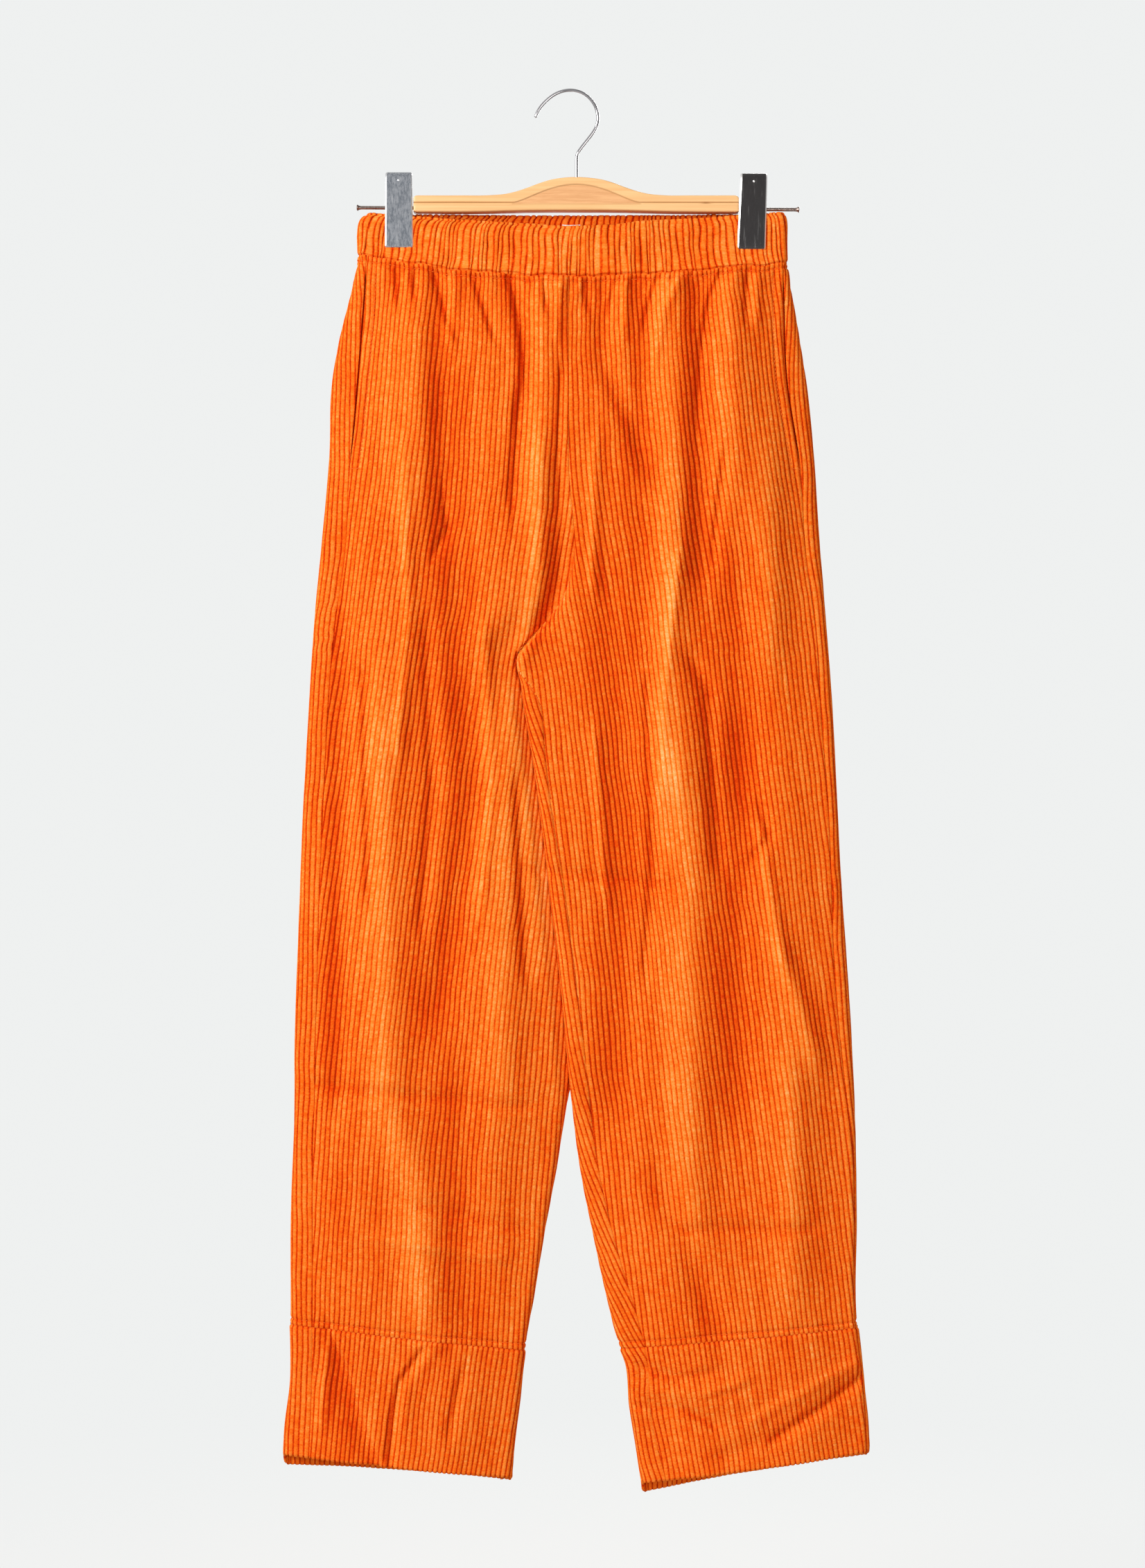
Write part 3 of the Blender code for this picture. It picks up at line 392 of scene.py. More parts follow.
def crease_height(folds: Sequence[Crease], side: Face, x: Array, drop: float) -> Array:
    """Sum of creases at points of one level line.

    Args:
        folds: the creases to add up.
        side: which side of the garment is read.
        x: positions along the level line.
        drop: how far down the line is.

    Returns:
        The height out of the cloth at each x.
    """
    total = np.zeros_like(x)
    for crease in (fold for fold in folds if fold.side is side):
        best, signed = np.full_like(x, 1e9), np.ones_like(x)
        last = len(crease.line) - 2
        for k, ((x0, d0), (x1, d1)) in enumerate(zip(crease.line, crease.line[1:])):
            ux, ud = x1 - x0, d1 - d0
            size = math.hypot(ux, ud)
            along = ((x - x0) * ux + (drop - d0) * ud) / size
            away = ((x - x0) * ud - (drop - d0) * ux) / size
            before = 0.4 if k == 0 else 1.0
            after = 0.4 if k == last else 1.0
            past = np.maximum(-along, 0) * before + np.maximum(along - size, 0) * after
            here = np.hypot(away, past)
            signed = np.where(here < best, away, signed)
            best = np.minimum(best, here)
        width = mix(crease.width, crease.other, ease(0.5 + signed / 6.0))
        total += crease.height * bell(best, width)
    return total


@dataclass
class Ring:
    """One level section of the cloth, as an even ring of points."""

    points: Array
    normals: Array
    lift: Array
    step: float
    marks: Dict[str, float]
    drop: float

    @property
    def total(self) -> float:
        """Length of the ring."""
        return self.step * len(self.points)

    def read(self, values: Array, at: Array) -> Array:
        """Values of the ring at lengths along it."""
        return read_ring(values, (np.asarray(at) / self.step) % len(self.points))

    def find(self, x: float, side: Face) -> float:
        """Length along the ring where it passes x on the front or the back."""
        near = self.points[:, 1] < 0 if side is Face.FRONT else self.points[:, 1] >= 0
        away = np.abs(self.points[:, 0] - x) + np.where(near, 0.0, 1e6)
        if side is Face.BACK:
            away = away + np.where(self.normals[:, 1] > 0, 0.0, 1e3)
        k = int(np.argmin(away))
        n = len(self.points)
        a, b = self.points[(k - 1) % n, 0], self.points[(k + 1) % n, 0]
        shift = 0.0 if abs(b - a) < 1e-6 else 2 * (x - self.points[k, 0]) / (b - a)
        return (k + float(np.clip(shift, -1, 1))) * self.step


class Sections:
    """Works out the level sections of trunk and legs from the measured lines."""

    def __init__(self) -> None:
        """Starts with no sections kept."""
        self.kept: Dict[Tuple[float, str], Ring] = {}

    def at(self, drop: float, leg: Leg) -> Ring:
        """The section that a leg's panels follow at a drop."""
        name = "trunk" if drop <= CROTCH else leg.value
        key = (round(drop, 3), name)
        if key not in self.kept:
            maker = {"trunk": self.trunk, "right": self.right, "left": self.left}[name]
            self.kept[key] = maker(drop)
        return self.kept[key]

    @staticmethod
    def level(x: Array, edge: Any, depth: Any, inward: int) -> Array:
        """A depth that comes down to the edge roundness within 60 mm of a side."""
        return mix(EDGE, depth, ease(inward * (x - edge) / 60))

    def trunk(self, drop: float) -> Ring:
        """The one section above the crotch."""
        left, right, front, back = OUTLINE.read(drop)
        edge, fold = INNER.read(drop)
        t = np.clip((drop - FORK) / (CROTCH - FORK), 0, 1)
        dip, step = ease((drop - FORK + 60) / 95), ease((drop - FORK + 120) / 120)
        seam_y = mix(-front, -1 - CURL, dip)
        under = mix(back - 9 * step, -1.0, t)
        last = mix(under, 4.1 - 1 - CURL, t**1.5)

        xa = across(left, edge - TUCK * t)
        la = -self.level(xa, left, front, 1)
        la = mix(la, seam_y, ease((xa - (edge - 45)) / 45))
        a = columns(xa, la * round_off(xa - left, EDGE))

        xb = across(edge, right)
        lb = -self.level(xb, right, front, -1) * round_off(right - xb, EDGE)
        b = columns(xb, mix(seam_y, lb, round_off(xb - edge, CURL)))

        xc = across(right, edge)
        lc = self.level(xc, right, back, -1)
        lc = mix(lc, under, ease((max(fold, edge) + 75 - xc) / 75))
        lc = lc * round_off(right - xc, EDGE)
        c = columns(xc, mix(last, lc, round_off(xc - edge, CURL)))

        start = edge - TUCK * step
        fold = max(fold, start)
        tight = min(EDGE, (fold - start) / 2)
        hidden = under + 2.4 * step
        lean = 16 * (1 - step)
        turn = np.linspace(-math.pi / 2, math.pi / 2, 40)
        swing = (np.sin(turn) + 1) / 2
        bend = fold - tight + tight * np.cos(turn) - lean * swing
        parts = [
            columns(np.full(16, start), np.linspace(last, hidden, 16)),
            columns(np.linspace(start, fold - tight, 80)[1:], np.full(79, hidden)),
            columns(bend, mix(hidden, back, swing))[1:],
        ]
        count = sum(len(p) for p in parts)
        xd = across(fold - tight - lean, left)[1:]
        ld = self.level(xd, left, back, 1) * round_off(xd - left, EDGE)
        d = np.vstack(parts + [columns(xd, ld)])

        na, nb, nc = len(a), len(b), len(c)
        tags = np.repeat((-1.0, 1.0, 0.0, 1.0), (na + nb, nc, count, len(xd)))
        tags[na + nb :][:nc] *= 1 - step * (xc < fold + 12)
        points = np.vstack((a, b, c, d))
        run = lengths(np.vstack((points, points[:1])))

        def on_line(name: str, low: int, high: int) -> float:
            """Running length where a seam crosses one part of the section."""
            x = SEAMS.at(name, drop)
            return float(np.interp(x, points[low:high, 0], run[low:high]))

        marks = {
            "right_outseam": on_line("right_outseam", 0, na),
            "front_rise": float(run[na - 1] + run[na]) / 2,
            "left_outseam": on_line("left_outseam", na, na + nb),
            "back_rise": float(run[na + nb + nc - 1] + run[na + nb + nc]) / 2,
        }
        return self.finish(points, tags, marks, drop)

    def left(self, drop: float) -> Ring:
        """Section of the leg that hangs in front."""
        _, right, front, back = OUTLINE.read(drop)
        edge, fold = INNER.read(drop)
        over = 1 - ease((drop - 770) / 80)
        x = across(edge, right)
        f = -self.level(x, right, front, -1)
        f = mix(-mix(EDGE, front, over), f, ease((x - edge) / 60))
        reach = mix(0.0, max(fold + 2 - edge, 0.0), over)
        r = self.level(x, right, back, -1)
        r = mix(mix(EDGE, -1.0, over), r, ease((x - edge - reach) / mix(60.0, 75.0, over)))
        rounded = round_off(np.minimum(x - edge, right - x), CURL)
        points = self.pair(x, f, r, rounded)
        tags = np.concatenate((-np.ones(len(x)), np.ones(len(x) - 2)))
        tags[len(x) :] *= 1 - over * (x[::-1][1:-1] < fold + 12)
        run = lengths(points)[: len(x)]
        blend = float(ease((drop - CROTCH) / 50))
        marks = {
            name: float(np.interp(SEAMS.at(name, drop), x, run)) * share
            for name, share in (("left_inseam", blend), ("left_outseam", 1.0))
        }
        return self.finish(points, tags, marks, drop)

    def right(self, drop: float) -> Ring:
        """Section of the leg that hangs behind."""
        left, _, front, back = OUTLINE.read(drop)
        edge, fold = INNER.read(drop)
        over = 1 - ease((drop - 770) / 80)
        free = float(ease((drop - CROTCH) / 60))
        seam_y = mix(-1 - CURL, 1.0, free)
        x = across(left, fold)
        f = -self.level(x, left, front, 1)
        hidden = mix(seam_y, 1.0, round_off(x - (edge - TUCK), CURL + TUCK))
        early = mix(f, hidden, ease((x - edge + 45) / 45))
        late = mix(f, -9.0, ease((x - edge + 72) / 62))
        late = mix(late, -5.2, ease((x - edge + 12) / 11))
        late = mix(late, hidden, round_off(x - edge - 0.2, 6.0))
        under = mix(early, late, ease((drop - CROTCH) / 45))
        f = mix(mix(f, -EDGE, ease((x - fold + 60) / 60)), under, over)
        r = self.level(x, left, back, 1)
        r = mix(r, mix(EDGE, back, over), ease((x - fold + 60) / 60))
        rounded = round_off(np.minimum(x - left, fold - x), CURL)
        points = self.pair(x, f, r, rounded)
        tags = np.concatenate((-np.ones(len(x)), np.ones(len(x) - 2)))
        tags[: len(x)] *= 1 - over * (x > edge - 4)
        run = lengths(points)[: len(x)]
        start = float(np.interp(float(edge - TUCK), x, run))
        turned = run[-1] + float(SEAMS.at("right_inseam", drop))
        marks = {
            "right_outseam": float(np.interp(SEAMS.at("right_outseam", drop), x, run)),
            "right_inseam": float(mix(turned, start, 1 - free)),
        }
        return self.finish(points, tags, marks, drop)

    @staticmethod
    def pair(x: Array, front: Array, rear: Array, rounded: Array) -> Array:
        """A closed section from its two layers."""
        middle, half = (front + rear) / 2, (rear - front) / 2
        near, far = middle - half * rounded, middle + half * rounded
        return np.vstack((columns(x, near), columns(x, far)[::-1][1:-1]))

    @staticmethod
    def finish(points: Array, tags: Array, marks: Dict[str, float], drop: float) -> Ring:
        """Evens out a section and raises its folds and creases."""
        loop = np.vstack((points, points[:1]))
        run = lengths(loop)
        total = run[-1]
        count = int(total / 0.7)
        step = total / count
        even = np.arange(count) * step
        ring = read_line(loop, run, even)
        side = np.interp(even, run, np.append(tags, tags[0]))
        ring = columns(*(smooth_ring(column, 1.3, step) for column in ring.T))
        side = smooth_ring(side, 5.0, step)
        normal = outward(ring, 2)
        show = ease((np.abs(normal[:, 1]) - 0.45) / 0.5) * np.abs(side)
        x = ring[:, 0]
        lift = np.zeros(count)
        hips = float(ease((drop - 290) / 130))
        broad = mix(0.62, 0.95, hips) * mix(1.0, 0.6, float(ease((drop - 990) / 20)))
        for folds, share in ((FOLDS, broad), (CREASES, mix(1.2, 1.5, hips))):
            front, rear = (crease_height(folds, face, x, drop) for face in Face)
            lift += share * np.where(side < 0, front, rear)
        lift = lift * show * mix(0.32, 1.0, float(ease((drop - WAIST - 1) / 9)))
        ring = ring + normal * lift[:, None]
        return Ring(ring, outward(ring, 3), lift, step, marks, drop)


def waist_sag(x: Array, y: Array) -> Array:
    """How far the waist seam lies below its nominal drop."""
    front = np.where(x < 0, -17.8, -11.8) * (x / 172) ** 2
    rear = -12.0 + np.where(x < 0, -5.6, 0.2) * (x / 172) ** 2
    return mix(front, rear, ease((y + 4) / 8))


SEAM_DRIFT = Drift(5)


def waist_waver(x: Array, y: Array) -> Array:
    """Small ups and downs of the waist seam between its gathers."""
    at = x / 5.5 + np.where(y > 0, 70.0, 0.0)
    return 0.85 * SEAM_DRIFT.line(at) + 0.6 * SEAM_DRIFT.line(300 + at / 2.7)


def settle(plan: Array, drop: float, leg: Leg) -> Array:
    """Puts points of a level line in space, with its sag and its tilt.

    Args:
        plan: x and y of the points.
        drop: how far down their section is.
        leg: the leg that the line belongs to.

    Returns:
        x, y and z of each point.
    """
    x, y = plan[:, 0], plan[:, 1]
    below = waist_sag(x, y) * (1 - ease((drop - WAIST) / 180))
    below = below + waist_waver(x, y) * (1 - ease((drop - WAIST) / 22))
    if drop > 700:
        right = leg is Leg.RIGHT
        outer = OUTLINE.at("left" if right else "right", drop)
        inner = INNER.at("fold" if right else "edge", drop)
        share = np.clip((x - outer) / (inner - outer), 0, 1)
        outside, inside = (TILT.at(f"{leg.value}_{edge}", drop) for edge in ("outer", "inner"))
        below = below + mix(outside, inside, share)
        rear = TILT.at("rear", drop) * (0.4 + 0.6 * (1 - share if right else share))
        below = below + rear * ease((y + 3) / 8)
    return columns(x, y, -(drop + below))


def place(points: Array) -> Array:
    """Millimetres of the tables to metres of the frame."""
    return (points + np.array((HOOK_SHIFT, 0.0, 0.0))) * MM


# Shader maths


class Wire:
    """An output socket that takes part in Python maths."""

    def __init__(self, graph: "Graph", socket: Any) -> None:
        """Keeps the socket and the graph that it is in."""
        self.graph, self.socket = graph, socket

    def _maths(self, operation: str, *values: Any) -> "Wire":
        """A maths node on values or wires."""
        return self.graph.node("ShaderNodeMath", {"operation": operation}, *values)

    def __add__(self, other: Any) -> "Wire":
        """Sum."""
        return self._maths("ADD", self, other)

    __radd__ = __add__

    def __mul__(self, other: Any) -> "Wire":
        """Product."""
        return self._maths("MULTIPLY", self, other)

    __rmul__ = __mul__

    def __sub__(self, other: Any) -> "Wire":
        """Difference."""
        return self._maths("SUBTRACT", self, other)

    def __rsub__(self, other: Any) -> "Wire":
        """Difference from a number."""
        return self._maths("SUBTRACT", other, self)

    def __truediv__(self, other: Any) -> "Wire":
        """Quotient."""
        return self._maths("DIVIDE", self, other)

    def floor(self) -> "Wire":
        """Whole part."""
        return self._maths("FLOOR", self)

    def swing(self, scale: float) -> "Wire":
        """Triangle wave that goes up to scale and back."""
        return self._maths("PINGPONG", self, scale)

    def ramp(self, low: float, high: float, out: Tuple[float, float] = (0, 1)) -> "Wire":
        """Smooth step between low and high."""
        smooth = {"interpolation_type": "SMOOTHSTEP"}
        return self.graph.node("ShaderNodeMapRange", smooth, self, low, high, *out)


class Graph:
    """The node tree of one material."""

    def __init__(self, name: str) -> None:
        """Makes the material and empties its tree down to the shader."""
        self.material = bpy.data.materials.new(name)
        self.material.use_nodes = True
        self.tree = self.material.node_tree
        self.shader = self.tree.nodes["Principled BSDF"]

    def node(self, kind: str, settings: Dict[str, Any], *inputs: Any, out: Any = 0) -> Wire:
        """Adds a node.

        Args:
            kind: Blender's name of the node's type.
            settings: properties that are set before the inputs.
            inputs: values or wires for its sockets, in order, or a dict of names.
            out: which output is given back.

        Returns:
            The output as a wire.
        """
        made = self.tree.nodes.new(kind)
        for key, value in settings.items():
            if key == "stops":
                self._stops(made.color_ramp, value)
            else:
                setattr(made, key, value)
        named = inputs[0] if inputs and isinstance(inputs[0], dict) else dict(enumerate(inputs))
        for key, value in named.items():
            self.feed(made.inputs[key], value)
        return Wire(self, made.outputs[out])

    def feed(self, socket: Any, value: Any) -> None:
        """Links a wire to a socket, or sets its value."""
        if isinstance(value, Wire):
            self.tree.links.new(value.socket, socket)
        elif isinstance(value, (tuple, list)) and socket.type == "RGBA":
            socket.default_value = (*value[:3], 1.0)
        elif value is not None:
            socket.default_value = value

    @staticmethod
    def _stops(ramp: Any, stops: Sequence[Tuple[float, Colour]]) -> None:
        """Sets the colours along a colour ramp."""
        for spot, colour in stops:
            there = [e for e in ramp.elements if abs(e.position - spot) < 1e-4]
            element = there[0] if there else ramp.elements.new(spot)
            element.color = (*colour, 1.0)

    def blend(self, share: Any, a: Any, b: Any) -> Wire:
        """Mixes two colours."""
        return self.node("ShaderNodeMix", {"data_type": "RGBA"}, {0: share, 6: a, 7: b}, out=2)

    def noise(self, where: Tuple[Any, Any, Any], detail: float = 2.0, rough: float = 0.5) -> Wire:
        """Noise from 0 to 1, read at a place made of three values."""
        return self._noise(self.node("ShaderNodeCombineXYZ", {}, *where), detail, rough)

    def grain(
        self, scale: Tuple[float, float, float], detail: float = 2.0, rough: float = 0.5,
        turn: float = 0.0,
    ) -> Wire:
        """Noise from 0 to 1 over the object, scaled along each axis and turned about y."""
        inputs = {"Vector": self.spot(), "Scale": scale, "Rotation": (0.0, turn, 0.0)}
        return self._noise(self.node("ShaderNodeMapping", {}, inputs), detail, rough)

    def _noise(self, vector: Wire, detail: float, rough: float) -> Wire:
        """A noise node that is fed with a vector."""
        inputs = {"Vector": vector, "Scale": 1.0, "Detail": detail, "Roughness": rough}
        return self.node("ShaderNodeTexNoise", {}, inputs)

    def spot(self) -> Wire:
        """The place on the object."""
        return self.node("ShaderNodeTexCoord", {}, out="Object")

    def attribute(self, name: str) -> Tuple[Wire, Wire, Wire]:
        """The three parts of a vector attribute of the mesh."""
        settings = {"attribute_name": name, "attribute_type": "GEOMETRY"}
        read = self.node("ShaderNodeAttribute", settings, out="Vector")
        parts = self.tree.nodes.new("ShaderNodeSeparateXYZ")
        self.feed(parts.inputs[0], read)
        return tuple(Wire(self, out) for out in parts.outputs)

    def bump(self, height: Wire, distance: float, strength: float = 1.0) -> None:
        """Feeds the shader's normal from a height."""
        inputs = {"Strength": strength, "Distance": distance, "Height": height}
        self.feed(self.shader.inputs["Normal"], self.node("ShaderNodeBump", {}, inputs))

    def surface(self, **values: Any) -> None:
        """Sets or links the shader's sockets, with _ for a space in their names."""
        for key, value in values.items():
            self.feed(self.shader.inputs[key.replace("_", " ")], value)


@dataclass(frozen=True)
class Corduroy:
    """Cut pile in wide wales, coloured with painted light and shade: pale on lit fold ridges, deep red
    in valleys, grooves and shaded slopes.
    """

    name: str = "corduroy"
    # Colours from shaded to lit copies of the one orange, as painted light and shade.
    shades: Tuple[Tuple[float, Colour], ...] = (
        (0.0, (0.47, 0.020, 0.0008)),
        (0.17, (0.69, 0.042, 0.0015)),
        (0.34, (0.83, 0.083, 0.0035)),
        (0.52, (0.885, 0.153, 0.009)),
        (0.70, (0.92, 0.250, 0.034)),
        (0.86, (0.95, 0.370, 0.098)),
        (1.0, (0.98, 0.510, 0.205)),
    )
    pile: float = 0.00055

    def make(self) -> Finish:
        """Builds the material; the cloth's own wale coordinates and its painted tone drive it."""
        g = Graph(self.name)
        # The attribute's third part, called lift here, is the painted light and shade worked out for
        # each point of the cloth.
        wale, down, lift = g.attribute("wale")
        shake = g.noise((wale * 1.3, down / 1.9, 31.0), 3.0, 0.65)
        shake = (shake - 0.5) * 0.26
        number = wale.floor() * 3.71
        furrow = (wale + 0.5).floor() * 5.13
        crown = ((wale + shake).swing(0.5) * 2.0).ramp(-0.05, 0.56)
        broken = g.noise((furrow, down / 4.4, 17.0), 2.0, 0.6).ramp(0.30, 0.66)
        beads = g.noise((number, down / 3.6, 0.0), 2.0, 0.55)
        single = g.noise((number, down / 85.0, 9.0), 1.0, 0.5)
        mottle = g.noise((wale * 0.7, down / 8.0, 2.0), 3.0, 0.6)
        nap = g.noise((wale * 4.2, down * 0.85, lift), 3.0, 0.62)
        fuzz = g.grain((1500.0, 1500.0, 1000.0), 2.0, 0.6)
        wash = g.grain((24.0, 24.0, 13.0), 3.0, 0.55)
        weft = (down / 2.4 + mottle * 3.4 + single * 2.0).swing(0.5) * 2.0
        weft = weft.ramp(0.0, 0.6) - 0.72
        # Painted shade in the grooves between the wales, deeper where the painted tone is low.
        groove = (0.84 - crown) * (0.40 + broken * 0.24) * (1.0 - lift * 0.35)
        streak = g.noise((wale * 0.33, down / 95.0, 5.0), 4.0, 0.6)
        # Painted light and shade set the level; streaks, beads, mottling and wash are random tone of
        # the pile.
        level = 0.50 + lift * 0.24 - groove + (streak - 0.5) * 0.30
        level = level + (beads - 0.5) * 0.46 * crown + (mottle - 0.5) * 0.28 + weft * 0.05
        level = level + (nap - 0.5) * 0.38 + (single - 0.5) * 0.34 + (wash - 0.5) * 0.12
        g.surface(
            Base_Color=g.node("ShaderNodeValToRGB", {"stops": self.shades}, level),
            Roughness=0.84 + fuzz * 0.14,
            Sheen_Weight=0.05,
            Sheen_Roughness=0.5,
            Sheen_Tint=(1.0, 0.42, 0.08),
            Specular_IOR_Level=0.03,
        )
        height = beads * crown * 1.1 + nap * 0.75 + fuzz * 0.30 + crown * 0.4 + weft * 0.12
        g.bump(height, self.pile, 1.0)
        return g.material


@dataclass(frozen=True)
class Thread:
    """Spun sewing thread, a shade deeper than the cloth."""

    name: str = "sewing_thread"
    light: Colour = (0.95, 0.21, 0.022)
    dark: Colour = (0.76, 0.090, 0.006)

    def make(self) -> Finish:
        """Builds the material."""
        g = Graph(self.name)
        strands = g.grain((2600.0, 2600.0, 2600.0), 2.0)
        g.surface(
            Base_Color=g.blend(strands, self.dark, self.light),
            Roughness=0.6 + strands * 0.2,
            Specular_IOR_Level=0.2,
        )
        g.bump(strands, 0.00015)
        return g.material


@dataclass(frozen=True)
class Tape:
    """Plain white woven tape."""

    name: str = "woven_tape"
    warp: Colour = (0.90, 0.90, 0.88)
    weft: Colour = (0.78, 0.78, 0.76)

    def make(self) -> Finish:
        """Builds the material."""
        g = Graph(self.name)
        place_at = g.node("ShaderNodeSeparateXYZ", {}, g.spot())
        rise = Wire(g, place_at.socket.node.outputs[2])
        weave = (place_at * 2600.0).swing(0.5) + (rise * 2600.0).swing(0.5)
        g.surface(Base_Color=g.blend(weave, self.weft, self.warp), Roughness=0.62 + weave * 0.1)
        g.bump(weave, 0.0001)
        return g.material


@dataclass(frozen=True)
class Honey:
    """Pale lacquered wood with a darker inlaid panel."""

    name: str = "honey_wood"
    pale: Colour = (0.87, 0.525, 0.235)
    deep: Colour = (0.74, 0.38, 0.138)
    inlay: Colour = (0.80, 0.430, 0.190)
    streak: Colour = (0.64, 0.300, 0.112)

    def make(self) -> Finish:
        """Builds the material; the mesh says where grooves and inlay are."""
        g = Graph(self.name)
        inlay, groove, _ = g.attribute("face")
        along = g.grain((9.0, 120.0, 420.0), 5.0, 0.62)
        fine = g.grain((40.0, 900.0, 1500.0), 3.0, 0.6)
        skew = g.grain((34.0, 120.0, 560.0), 5.0, 0.62, 0.42)
        pores = g.grain((150.0, 900.0, 2400.0), 2.0, 0.5, 0.42)
        body = g.blend(along.ramp(0.38, 0.70) * 0.55, self.pale, self.deep)
        body = g.blend(fine.ramp(0.5, 0.75) * 0.25, body, self.deep)
        panel = g.blend(skew.ramp(0.35, 0.7) * 0.7, self.inlay, self.streak)
        panel = g.blend(pores.ramp(0.52, 0.7) * 0.35, panel, self.streak)
        tone = g.blend(inlay, body, panel)
        # The routed lines are darkened as painted shade; the chip's dent gets the same darker colour.
        tone = g.blend(groove * 0.95, tone, (0.36, 0.155, 0.045))
        g.surface(
            Base_Color=tone,
            Roughness=0.40 + fine * 0.14,
            Coat_Weight=0.22,
            Coat_Roughness=0.25,
        )
        g.bump(along * 0.5 + fine * 0.5, 0.00008)
        return g.material


class Polish(Enum):
    """How each metal piece of the hanger is finished."""

    CLIP = "clip_plate"
    WIRE = "chrome_wire"
    ROD = "worn_rod"


@dataclass(frozen=True)
class Metal:
    """Plated steel, with the scratches and dulling of its finish, and a painted highlight on its rim.
    """

    polish: Polish
    clean: Colour
    dull: Colour
    rough: float
    scratched: float
    rim: Optional[Colour] = None

    def make(self) -> Finish:
        """Builds the material."""
        g = Graph(self.polish.value)
        haze = g.grain((760.0, 760.0, 240.0), 6.0, 0.72, 0.4)
        fine = g.grain((900.0, 900.0, 160.0), 3.0, 0.6)
        specks = g.grain((620.0, 620.0, 620.0), 3.0, 0.7)
        lines = g.grain((900.0, 900.0, 45.0), 2.0, 0.6, 0.5)
        marks = lines.ramp(0.62, 0.70) + specks.ramp(0.62, 0.74) * 0.6
        tone = g.blend(haze.ramp(0.37, 0.64) * self.scratched, self.clean, self.dull)
        tone = g.blend(marks * 0.30 * self.scratched, tone, (0.95, 0.95, 0.96))
        rough = self.rough + haze * 0.12 * self.scratched + marks * 0.10 * self.scratched
        # The rim colour is a painted highlight along the plate's rounded edges.
        if self.rim:
            edge = g.attribute("rim")[0]
            tone = g.blend(edge, tone, self.rim)
            rough = rough + edge * 0.22
        g.surface(Base_Color=tone, Metallic=1.0, Roughness=rough)
        g.bump(fine * 0.4 + specks * 0.5 + marks * 0.5, 0.00003 * self.scratched + 0.000005, 0.5)
        return g.material


@dataclass(frozen=True)
class Paper:
    """Plain pale floor that fades out towards its rim."""

    name: str = "studio_floor"
    colour: Colour = (0.80, 0.80, 0.80)
    rim: float = 2.2

    def make(self) -> Finish:
        """Builds the material."""
        g = Graph(self.name)
        away = g.node("ShaderNodeVectorMath", {"operation": "LENGTH"}, g.spot(), out="Value")
        g.surface(
            Base_Color=self.colour,
            Roughness=0.9,
            Specular_IOR_Level=0.1,
            Alpha=away.ramp(self.rim * 0.25, self.rim, (1.0, 0.0)),
        )
        return g.material


# Mesh making


